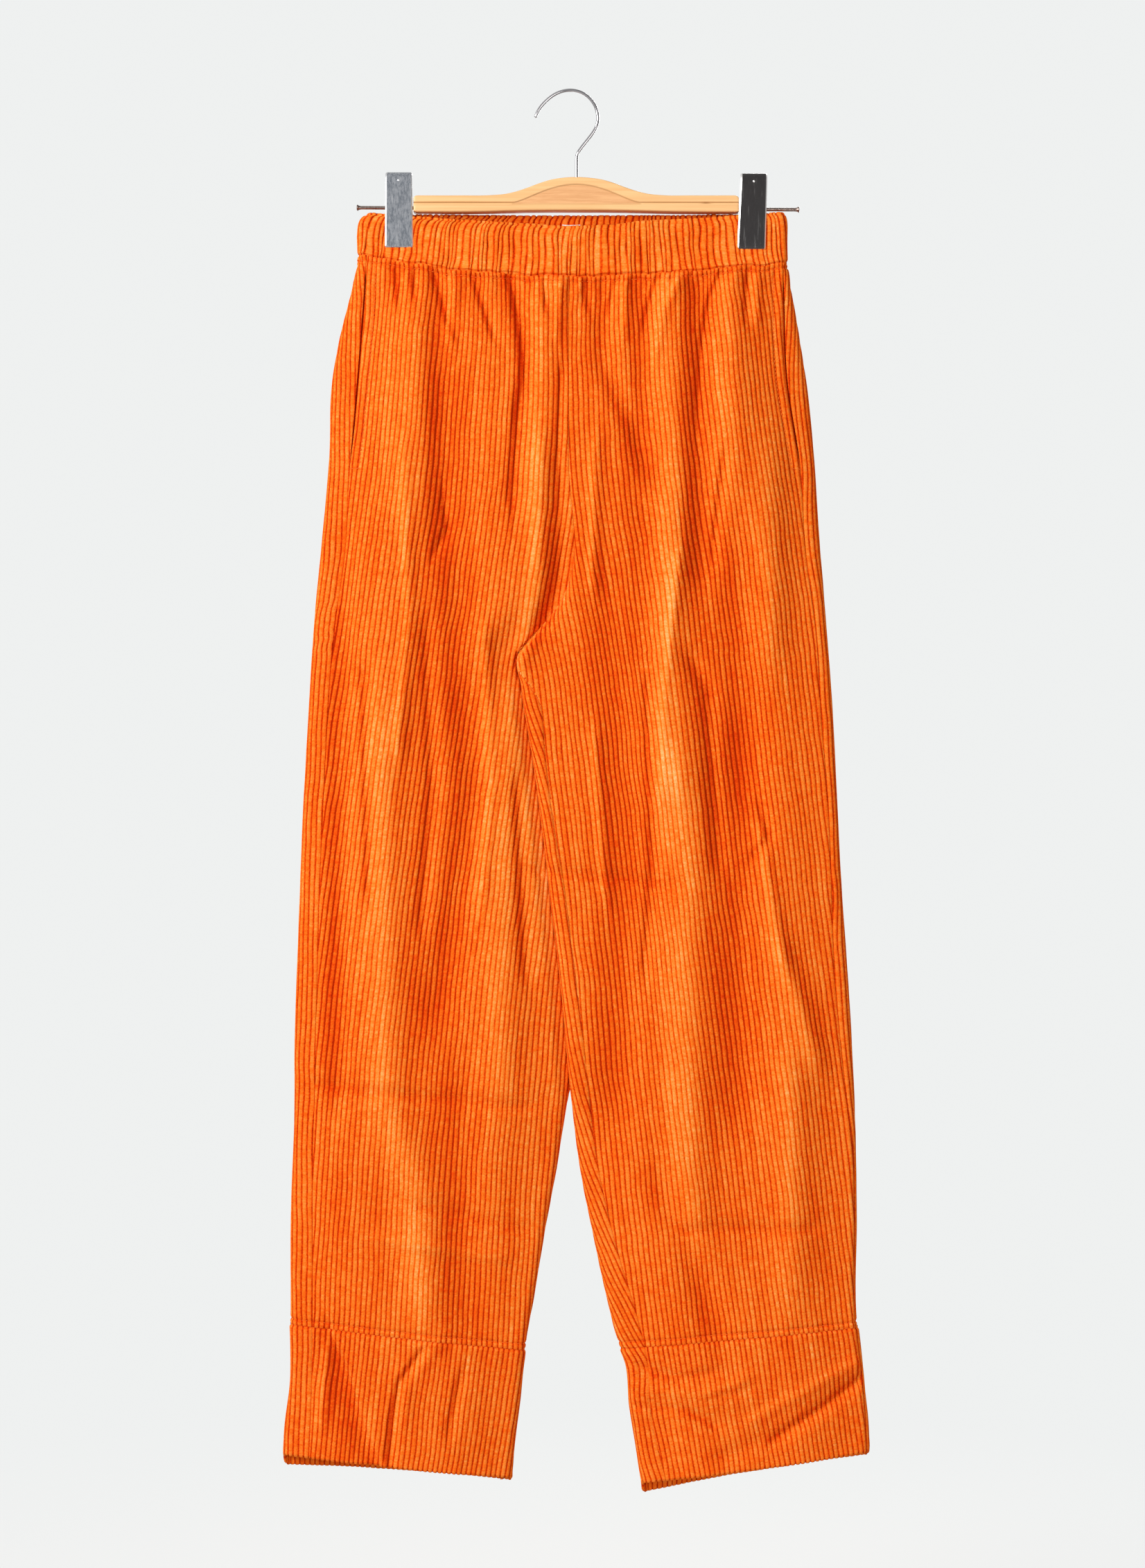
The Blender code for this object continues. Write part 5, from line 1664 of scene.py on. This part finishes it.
@dataclass
class Label:
    """Plain tape sewn inside the centre of the back waistband."""

    band: Waistband
    top: float = 105.9
    bottom: float = 120.5
    half: float = 7.4

    def build(self) -> Thing:
        """Makes the tape, folded under at its top edge."""
        at = np.linspace(0, 1, 2401)[:-1]
        plan, normal = self.band.ring(0.3, at)
        keep = (plan[:, 1] > 0) & (np.abs(plan[:, 0] + 1.1) < self.half)
        plan, normal = plan[keep], normal[keep]
        rows = []
        for drop, off in (
            (self.top + 4.0, 4.3), (self.top + 1.2, 4.35), (self.top + 0.25, 4.5),
            (self.top, 4.9), (self.top + 0.25, 5.25), (self.top + 1.2, 5.4),
            (self.top + 5.0, 5.5), (self.bottom - 4.0, 5.6), (self.bottom, 5.4),
        ):
            bow = 0.35 * np.cos(np.linspace(-1.5, 1.5, len(plan)))
            row = plan - normal * (off + bow)[:, None]
            sag = 0.5 * np.cos(np.linspace(-1.4, 1.6, len(plan)))
            rows.append(columns(row, -(drop + sag)))
        return Shop.grid("label_tape", np.array(rows))


def rod_drop(x: float) -> float:
    """How far down the rod's middle is."""
    (x0, d0), (x1, d1) = ROD
    return mix(d0, d1, (x - x0) / (x1 - x0))


@dataclass
class Bar:
    """The wooden bar, with its routed lines and its inlaid panel."""

    front: float = -6.2
    back: float = 5.4
    left: float = -127.2
    right: float = 133.0
    middle: float = 3.3
    half_panel: float = 50.5
    ease_by: float = 1.4
    slot: float = 1.85
    profile: Table = Table(
        "x top bottom",
        (-127.2, 86.4, 97.0), (-126.0, 85.0, 97.4), (-123.5, 84.4, 97.6), (-121.5, 84.4, 97.6),
        (-90.0, 84.4, 97.6), (-66.0, 84.2, 97.3), (-54.0, 83.2, 97.0),
        (-45.0, 81.2, 96.8), (-36.0, 78.2, 96.6), (-27.0, 74.8, 96.5),
        (-18.0, 72.0, 96.4), (-8.0, 70.3, 96.4), (3.3, 69.7, 96.4),
        (14.0, 70.3, 96.4), (24.0, 71.8, 96.4), (33.0, 74.4, 96.5),
        (42.0, 77.8, 96.6), (51.0, 80.8, 96.8), (60.0, 83.0, 97.0),
        (72.0, 84.2, 97.3), (96.0, 84.4, 97.6), (127.5, 84.4, 97.6), (129.5, 84.4, 97.6),
        (131.8, 85.0, 97.4), (133.0, 86.4, 97.0),
    )

    def arch(self, x: float) -> float:
        """Drop of the routed line that runs over the inlaid panel."""
        u = min(abs((x - self.middle) / self.half_panel), 1.0)
        return 90.3 - 14.4 * (1 - u * u) ** 1.5

    def face(self, x: float, drop: Array) -> Tuple[Array, Array, Array]:
        """Relief of the front face, with where the panel and the lines are."""
        arch, chord = self.arch(x), 91.5
        inside = ease((drop - arch - 0.2) / 0.5) * ease((chord - 0.2 - drop) / 0.5)
        inside = inside * (abs(x - self.middle) < self.half_panel)
        groove = bell(drop - arch, 0.46)
        if abs(x - self.middle) < self.half_panel + 1.5:
            groove = np.maximum(groove, 0.6 * bell(drop - chord, 0.38))
        chip = bell((x - 107.0) / 4.2, 1.0) * bell(drop - 90.6, 0.7)
        relief = -0.8 * groove - 0.4 * inside - 0.4 * chip
        relief = relief + 0.22 * bell(drop - arch - 1.5, 0.6) * (1 - inside)
        return relief, inside, np.maximum(groove * 0.75, chip)

    def section(self, x: float) -> Tuple[Array, Array]:
        """The bar's outline at one x, and where the panel and the lines are on it."""
        top, low = self.profile.at("top", x), self.profile.at("bottom", x)
        end = min(x - self.left, self.right - x)
        e = self.ease_by * (0.45 + 0.55 * float(ease(end / 2.0)))
        f = self.front + 0.9 * (1 - float(round_off(end + 0.05, 2.0)))
        turn = np.linspace(0, math.pi / 2, 6)
        drops = np.linspace(top + e, low - e, 56)
        relief, inlay, groove = self.face(x, drops)
        k, s, c, deep = self.back, self.slot, rod_drop(x), ROD_Y - ROD_RADIUS - 0.4
        rear = (
            (k - 0.8, low), (k - 0.2, low - 0.2), (k, low - 0.9), (k, c + s + 0.2),
            (k - 0.2, c + s), (deep, c + s), (deep, c - s), (k - 0.2, c - s),
            (k, c - s - 0.2), (k, top + e), (k - 0.4 * e, top + 0.3 * e), (k - e, top),
            (f + e, top),
        )
        over = columns(f + e - e * np.sin(turn), top + e - e * np.cos(turn))
        under = columns(f + e - e * np.cos(turn), low - e + e * np.sin(turn))
        outline = np.vstack((over, columns(f - relief, drops)[1:-1], under, rear))
        marks = np.zeros((len(outline), 3))
        marks[6:60, 0], marks[6:60, 1] = inlay[1:-1], groove[1:-1]
        points = columns(np.full(len(outline), x), outline[:, 0], -outline[:, 1])
        return points, marks

    def build(self) -> Thing:
        """Makes the bar as level sections from end to end, closed at both."""
        middle = np.linspace(self.left + 2.2, self.right - 2.2, 250)
        ends = np.array((0.0, 0.15, 0.45, 0.9, 1.5))
        at = np.concatenate((self.left + ends, middle, self.right - ends[::-1]))
        rows, marks = (np.array(part) for part in zip(*(self.section(x) for x in at)))
        rows = pad_ends(rows, 1, 1)
        for k, x in ((0, self.left - 0.05), (-1, self.right + 0.05)):
            rows[k] = rows[k].mean(axis=0)
            rows[k, :, 0] = x
        marks = {"face": pad_ends(marks, 1, 1)}
        return Shop.grid("hanger_bar_wood", rows, marks, close=True)


@dataclass
class Rod:
    """The rod that the clips slide on, with its two flared heads."""

    head: Tuple[Point, ...] = (
        (0.0, 0.4), (0.05, 1.9), (0.25, 2.35), (0.6, 2.5), (1.0, 2.4), (1.5, 1.9),
        (2.3, 1.6), (3.4, ROD_RADIUS),
    )

    def build(self) -> Thing:
        """Makes the rod."""
        (x0, _), (x1, _) = ROD
        steps = [(x0 + a, r) for a, r in self.head]
        steps += [(x, ROD_RADIUS) for x in np.linspace(x0 + 6, x1 - 6, 60)]
        steps += [(x1 - a, r) for a, r in reversed(self.head)]
        path = np.array([(x, ROD_Y, -rod_drop(x)) for x, _ in steps])
        return Shop.tube("hanger_rod_steel", path, np.array([r for _, r in steps]), 28)


@dataclass
class Hook:
    """The bent wire hook, with its foot in the bar."""

    wire: float = 2.5
    line: Tuple[Point, ...] = (
        (-30.0, 21.1), (-27.0, 14.2), (-22.2, 8.4), (-15.6, 2.9), (-8.8, -0.2),
        (-1.7, -1.25), (6.2, 0.2), (13.0, 4.4), (18.2, 11.0), (20.6, 19.4),
        (20.1, 25.8), (17.6, 31.6), (12.6, 38.2), (7.6, 44.4), (4.2, 49.2),
        (3.3, 52.6), (3.3, 62.0), (3.3, 69.9),
    )

    def build(self) -> Thing:
        """Makes the hook, rounded at its tip."""
        line = np.array(self.line) * (1, -1)
        for _ in range(3):
            cut = [line[0]]
            for a, b in zip(line, line[1:]):
                cut += [mix(a, b, 0.25), mix(a, b, 0.75)]
            line = np.array(cut + [line[-1]])
        run = lengths(line)
        at = np.concatenate(((0.0, 0.12, 0.4, 0.8, 1.3), np.linspace(2.2, run[-1], 130)))
        path = np.insert(read_line(line, run, at), 1, 0.0, axis=1)
        radii = self.wire / 2 * round_off(at + 0.02, 1.3)
        return Shop.tube("hanger_hook_wire", path, radii, 24)


@dataclass
class Clip:
    """One clip: a plate folded over the rod, its two jaws and its rivet."""

    leg: Leg
    top: Point
    bottom: Point
    wide: Tuple[float, float] = (19.2, 21.0)
    gap: float = 6.2
    plate: float = 1.1
    rim: float = 0.03
    fall: float = 0.28

    @property
    def node(self) -> str:
        """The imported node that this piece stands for."""
        return f"clip_{self.leg.value}"

    def path(self) -> List[Point]:
        """The plate's inside from the front jaw's lip over to the rear jaw, as y and drop."""
        r, bend = self.gap, self.top[1] + self.gap + self.plate
        low = self.bottom[1]
        line = [(-r + 1.2, low), (-r + 0.5, low - 0.3), (-r, low - 1.0), (-r, low - 1.5)]
        line += [(-r, d) for d in np.linspace(low - 6, bend, 7)]
        turn = np.linspace(0, math.pi, 17)[1:-1]
        line += [(-r * math.cos(a), bend - r * math.sin(a)) for a in turn]
        return line + [(r, bend), (r, low - 8), (r, low - 2.4), (r - 0.7, low - 2.0)]

    def build(self) -> Thing:
        """Extrudes the plate along its path, thickens it and sets the rivet in."""
        line = self.path()
        thing = Shop.blank(f"{self.node}_steel", 3, 1)
        bpy.ops.object.mode_set(mode="EDIT")
        work = bmesh.from_edit_mesh(thing.data)
        for vert in work.verts:
            y, drop = line[0] if vert.co.y < 0 else line[1]
            rim = self.rim if vert.co.x < 0 else 0.55 * self.rim
            x = math.copysign(0.5 if abs(vert.co.x) > 0.3 else 0.5 - rim, vert.co.x)
            vert.co = Vector((x, y, -drop))
            vert.select_set(False)
        bmesh.update_edit_mesh(thing.data)
        for (y0, d0), (y1, d1) in zip(line[1:], line[2:]):
            work = bmesh.from_edit_mesh(thing.data)
            work.select_mode = {"EDGE"}
            for edge in work.edges:
                there = (math.hypot(v.co.y - y0, v.co.z + d0) < 1e-3 for v in edge.verts)
                edge.select_set(all(there))
            bmesh.update_edit_mesh(thing.data)
            move = {"value": (0.0, y1 - y0, d0 - d1)}
            bpy.ops.mesh.extrude_region_move(TRANSFORM_OT_translate=move)
        Shop.turn_out()
        for vert in thing.data.vertices:
            t = (-vert.co.z - self.top[1]) / (self.bottom[1] - self.top[1])
            x = mix(self.top[0], self.bottom[0], t) + vert.co.x * mix(*self.wide, t)
            back = self.fall * (abs(vert.co.x) > 0.49) * np.sign(vert.co.y)
            vert.co = ((x + HOOK_SHIFT) * MM, (vert.co.y - back) * MM, vert.co.z * MM)
        front = max(thing.data.polygons, key=lambda p: p.area * (p.center.y < 0))
        offset = -1.0 if front.normal.y < 0 else 1.0
        Shop.modify(thing, "SOLIDIFY", thickness=self.plate * MM, offset=offset)
        limit = {"limit_method": "ANGLE", "angle_limit": math.radians(50)}
        Shop.modify(thing, "BEVEL", width=0.34 * MM, segments=3, **limit)
        self.mark(thing, 0.12)
        rivet = self.rivet()
        # The whole rivet gets the rim's painted highlight.
        self.mark(rivet, -1.0)
        Shop.pick(thing, rivet)
        bpy.ops.object.join()
        bpy.ops.object.shade_smooth_by_angle(angle=math.radians(14))
        return thing

    @staticmethod
    def mark(thing: Thing, turn: float) -> None:
        """Says which faces are the plate's rounded rim, which get the painted highlight, by how far
        they turn sideways.
        """
        made = thing.data.attributes.new("rim", "FLOAT", "FACE")
        normals = [face.normal for face in thing.data.polygons]
        turned = [float(abs(n.x) > turn or abs(n.z) > 0.9) for n in normals]
        made.data.foreach_set("value", turned)

    def rivet(self) -> Thing:
        """The small domed rivet near the top of the front jaw."""
        x, drop = mix(self.top[0], self.bottom[0], 0.12), self.top[1] + 6.7 + 1.0
        Shop.clear()
        spot = ((x + HOOK_SHIFT) * MM, -(self.gap + self.plate) * MM, -drop * MM)
        bpy.ops.mesh.primitive_uv_sphere_add(
            segments=20, ring_count=10, radius=0.95 * MM, location=spot
        )
        thing = bpy.context.object
        thing.scale = (1.0, 0.45, 1.0)
        bpy.ops.object.transform_apply(location=True, rotation=True, scale=True)
        return thing


@dataclass
class Topstitching:
    """Rows of small stitches that lie in the cloth along its seams."""

    long: float = 2.5
    pitch: float = 3.3
    thick: float = 0.32

    def stitch(self) -> Tuple[Array, List[Tuple[int, ...]]]:
        """One stitch along x, with a few faces."""
        Shop.clear()
        bpy.ops.mesh.primitive_uv_sphere_add(segments=5, ring_count=4, radius=0.5)
        thing = bpy.context.object
        verts = np.array([tuple(v.co) for v in thing.data.vertices])
        faces = [tuple(p.vertices) for p in thing.data.polygons]
        bpy.data.objects.remove(thing, do_unlink=True)
        return verts[:, (2, 0, 1)], faces

    def build(self, name: str, lines: Sequence[Line]) -> Thing:
        """Copies the stitch along lines.

        Args:
            name: the object's name.
            lines: each a line of points and the outward normal at each, in millimetres.

        Returns:
            One object with all the stitches.
        """
        verts, faces = self.stitch()
        points, polygons = [], []
        for line, normal in lines:
            run = lengths(line)
            for at in np.arange(self.pitch, run[-1] - self.pitch, self.pitch):
                near, far = (
                    read_line(line, run, [at + k])[0] for k in (-self.long / 2, self.long / 2)
                )
                out = read_line(normal, run, [at])[0]
                along = far - near
                size = np.linalg.norm(along)
                if size < 0.5 * self.long:
                    continue
                along = along / size
                out = out - along * (out @ along)
                out = out / max(np.linalg.norm(out), 1e-6)
                over = np.cross(along, out)
                middle = (near + far) / 2 + out * 0.12
                polygons += [tuple(len(points) + k for k in face) for face in faces]
                points += list(
                    middle
                    + verts[:, :1] * along * self.long
                    + verts[:, 1:2] * out * self.thick * 1.5
                    + verts[:, 2:] * over * self.thick * 2
                )
        mesh = bpy.data.meshes.new(name)
        mesh.from_pydata(place(np.array(points)).tolist(), [], polygons)
        thing = bpy.data.objects.new(name, mesh)
        bpy.context.scene.collection.objects.link(thing)
        Shop.pick(thing)
        bpy.ops.object.mode_set(mode="EDIT")
        Shop.turn_out()
        bpy.ops.object.shade_smooth()
        return thing


@dataclass
class Studio:
    """Plain pale floor, soft frontal light and the camera."""

    floor_drop: float = 1.42
    eye: Place = (0.0017, -2.2, -0.5553)
    aim: Place = (0.0, 0.0, -0.55)

    def floor(self) -> None:
        """A round pale floor, well below the hems."""
        Shop.clear()
        spot = (0, 0, -self.floor_drop)
        bpy.ops.mesh.primitive_circle_add(
            vertices=96, radius=1.6, fill_type="TRIFAN", location=spot
        )
        thing = bpy.context.object
        thing.name = "floor"
        bpy.ops.object.transform_apply(location=True, rotation=True, scale=True)
        thing.data.materials.append(Paper().make())

    def lamp(self, name: str, spot: Place, size: Point, power: float, colour: Colour) -> None:
        """Adds one soft rectangular light that faces the garment."""
        light = bpy.data.lights.new(name, "AREA")
        light.shape = "RECTANGLE"
        light.size, light.size_y = size
        light.energy, light.color = power, colour
        lamp = bpy.data.objects.new(name, light)
        lamp.location = spot
        ray = Vector(self.aim) - Vector(spot)
        lamp.rotation_euler = ray.to_track_quat("-Z", "Y").to_euler()
        bpy.context.scene.collection.objects.link(lamp)

    def air(self) -> None:
        """Pale surroundings; what they shed is dimmer than how they look."""
        world = bpy.data.worlds.new("studio")
        bpy.context.scene.world = world
        world.use_nodes = True
        tree = world.node_tree
        seen = tree.nodes["Background"]
        seen.inputs["Color"].default_value = (0.862, 0.876, 0.871, 1.0)
        shed = tree.nodes.new("ShaderNodeBackground")
        shed.inputs["Color"].default_value = (1.0, 0.975, 0.945, 1.0)
        towards = tree.nodes.new("ShaderNodeTexCoord")
        parts = tree.nodes.new("ShaderNodeSeparateXYZ")
        window = tree.nodes.new("ShaderNodeMapRange")
        window.interpolation_type = "SMOOTHSTEP"
        values = {"From Min": 0.16, "From Max": -0.22, "To Min": 0.33, "To Max": 0.62}
        for name, value in values.items():
            window.inputs[name].default_value = value
        path = tree.nodes.new("ShaderNodeLightPath")
        both = tree.nodes.new("ShaderNodeMixShader")
        for output, socket in (
            (towards.outputs["Generated"], parts.inputs[0]),
            (parts.outputs["X"], window.inputs["Value"]),
            (window.outputs[0], shed.inputs["Strength"]),
            (path.outputs["Is Camera Ray"], both.inputs["Fac"]),
            (shed.outputs[0], both.inputs[1]),
            (seen.outputs[0], both.inputs[2]),
            (both.outputs[0], tree.nodes["World Output"].inputs["Surface"]),
        ):
            tree.links.new(output, socket)

    def camera(self) -> None:
        """Looks level at the garment from the photograph's place."""
        scene = bpy.context.scene
        camera = bpy.data.cameras.new("camera")
        camera.sensor_fit = "VERTICAL"
        camera.sensor_height = 36.0
        focal_pixels, half_height = 3960.0, 1131.5
        camera.lens = 18.0 * focal_pixels / half_height
        eye = bpy.data.objects.new("camera", camera)
        eye.location = self.eye
        eye.rotation_euler = (math.pi / 2, 0.0, 0.0)
        scene.collection.objects.link(eye)
        scene.camera = eye

    def set_up(self) -> None:
        """Makes the whole studio."""
        bpy.context.scene.view_settings.view_transform = "Standard"
        self.floor()
        self.air()
        self.camera()
        self.lamp("key", (-1.95, -2.0, 0.75), (1.1, 1.3), 76.0, (1.0, 0.985, 0.96))
        self.lamp("fill", (1.2, -2.6, -0.6), (1.6, 1.4), 22.0, (1.0, 0.95, 0.89))
        self.lamp("rear", (0.9, 2.3, 0.6), (1.2, 1.2), 50.0, (1.0, 0.985, 0.96))
        self.lamp("rear_fill", (-0.9, 2.6, -1.0), (1.6, 1.2), 14.0, (1.0, 0.98, 0.96))


@dataclass
class Trousers:
    """All the sewn pieces."""

    sections: Sections
    cloth: Finish
    thread: Finish

    def take(self, thing: Thing, node: str, flat: Point, **more: Any) -> None:
        """Dresses a sheet and lets it stand for its node."""
        Shop.dress(thing, self.cloth, "corduroy")
        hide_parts(node)

    def legs(self) -> Dict[str, List[Line]]:
        """Makes the panels and hem bands, and gives back their stitch lines by name."""
        names = ("waist_stitching", "hem_stitching", "pocket_stitching", "pocket_tacks")
        lines: Dict[str, List[Line]] = {name: [] for name in names}
        for leg in Leg:
            for face in Face:
                panel = Panel(leg, face, self.sections)
                front = face is Face.FRONT
                flat, area = ((0.30, 0.90), 0.215) if front else ((0.36, 0.92), 0.275)
                hung = {"held": "hung", "rests_on": ("waistband_cloth",)}
                self.take(panel.build(), panel.node, flat, area=area, **hung)
                above, below = panel.top + WAIST_STITCH, panel.bottom - HEM_STITCH
                lines["waist_stitching"].append(panel.stitch_row(above))
                lines["hem_stitching"].append(panel.stitch_row(below))
                if front:
                    lines["pocket_stitching"].append(panel.pocket_row())
                    lines["pocket_tacks"].append(panel.tack_row())
                band = HemBand(leg, face, self.sections)
                hung = {"held": "hung", "rests_on": (f"{panel.node}_cloth",)}
                self.take(band.build(), band.node, (0.20 if front else 0.26, 0.205), **hung)
            facing = PocketFacing(leg, self.sections)
            hung = {"held": "hung", "rests_on": (f"front_panel_{leg.value}_cloth",)}
            self.take(facing.build(), facing.node, (0.022, 0.143), **hung)
        return lines

    def make(self) -> None:
        """Makes everything that is sewn."""
        band = Waistband()
        clips = ("clip_left_steel", "clip_right_steel")
        self.take(band.build(), "waistband", (0.86, 0.086), held="gathered", rests_on=clips)
        for name, lines in self.legs().items():
            close = name == "pocket_tacks"
            stitches = Topstitching(1.9, 0.55, 0.3) if close else Topstitching()
            Shop.dress(stitches.build(name, lines), self.thread, "corduroy")
        label = Label(band).build()
        Shop.dress(label, Tape().make(), "label_tape")
        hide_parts("label")


class Hanger:
    """The wooden clip hanger."""

    def make(self) -> None:
        """Makes the bar, rod, hook and clips in place of their plain solids."""
        rod = Metal(Polish.ROD, (0.42, 0.34, 0.31), (0.14, 0.08, 0.06), 0.22, 0.7)
        wire = Metal(Polish.WIRE, (0.50, 0.50, 0.53), (0.42, 0.42, 0.44), 0.09, 0.1)
        # The rim colours of both clips are painted highlights.
        pale = Metal(
            Polish.CLIP, (0.66, 0.70, 0.77), (0.31, 0.35, 0.41), 0.12, 1.0, (0.80, 0.82, 0.86)
        )
        # The left clip's near-black colour is a painted dark reflection.
        dark = Metal(
            Polish.CLIP, (0.12, 0.115, 0.118), (0.085, 0.08, 0.082), 0.14, 0.4,
            (0.98, 0.98, 0.98),
        )
        right = Clip(Leg.RIGHT, (-139.1, 65.0), (-138.6, 125.6))
        left = Clip(Leg.LEFT, (145.2, 65.9), (142.8, 127.0))
        pieces = (
            (Bar().build(), "hanger_bar", Honey().make(), "bar_wood"),
            (Rod().build(), "hanger_rod", rod.make(), "rod_steel"),
            (Hook().build(), "hanger_hook", wire.make(), "wire"),
            (right.build(), right.node, pale.make(), "clip_steel"),
            (left.build(), left.node, dark.make(), "clip_steel"),
        )
        for thing, node, finish, slot in pieces:
            Shop.dress(thing, finish, slot)
            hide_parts(node)


def main() -> None:
    """Builds the trousers, their hanger and the studio in order."""
    logging.basicConfig(level=logging.INFO, format="%(message)s")
    Hanger().make()
    Trousers(Sections(), Corduroy().make(), Thread().make()).make()
    Studio().set_up()


if __name__ == "__main__":
    main()
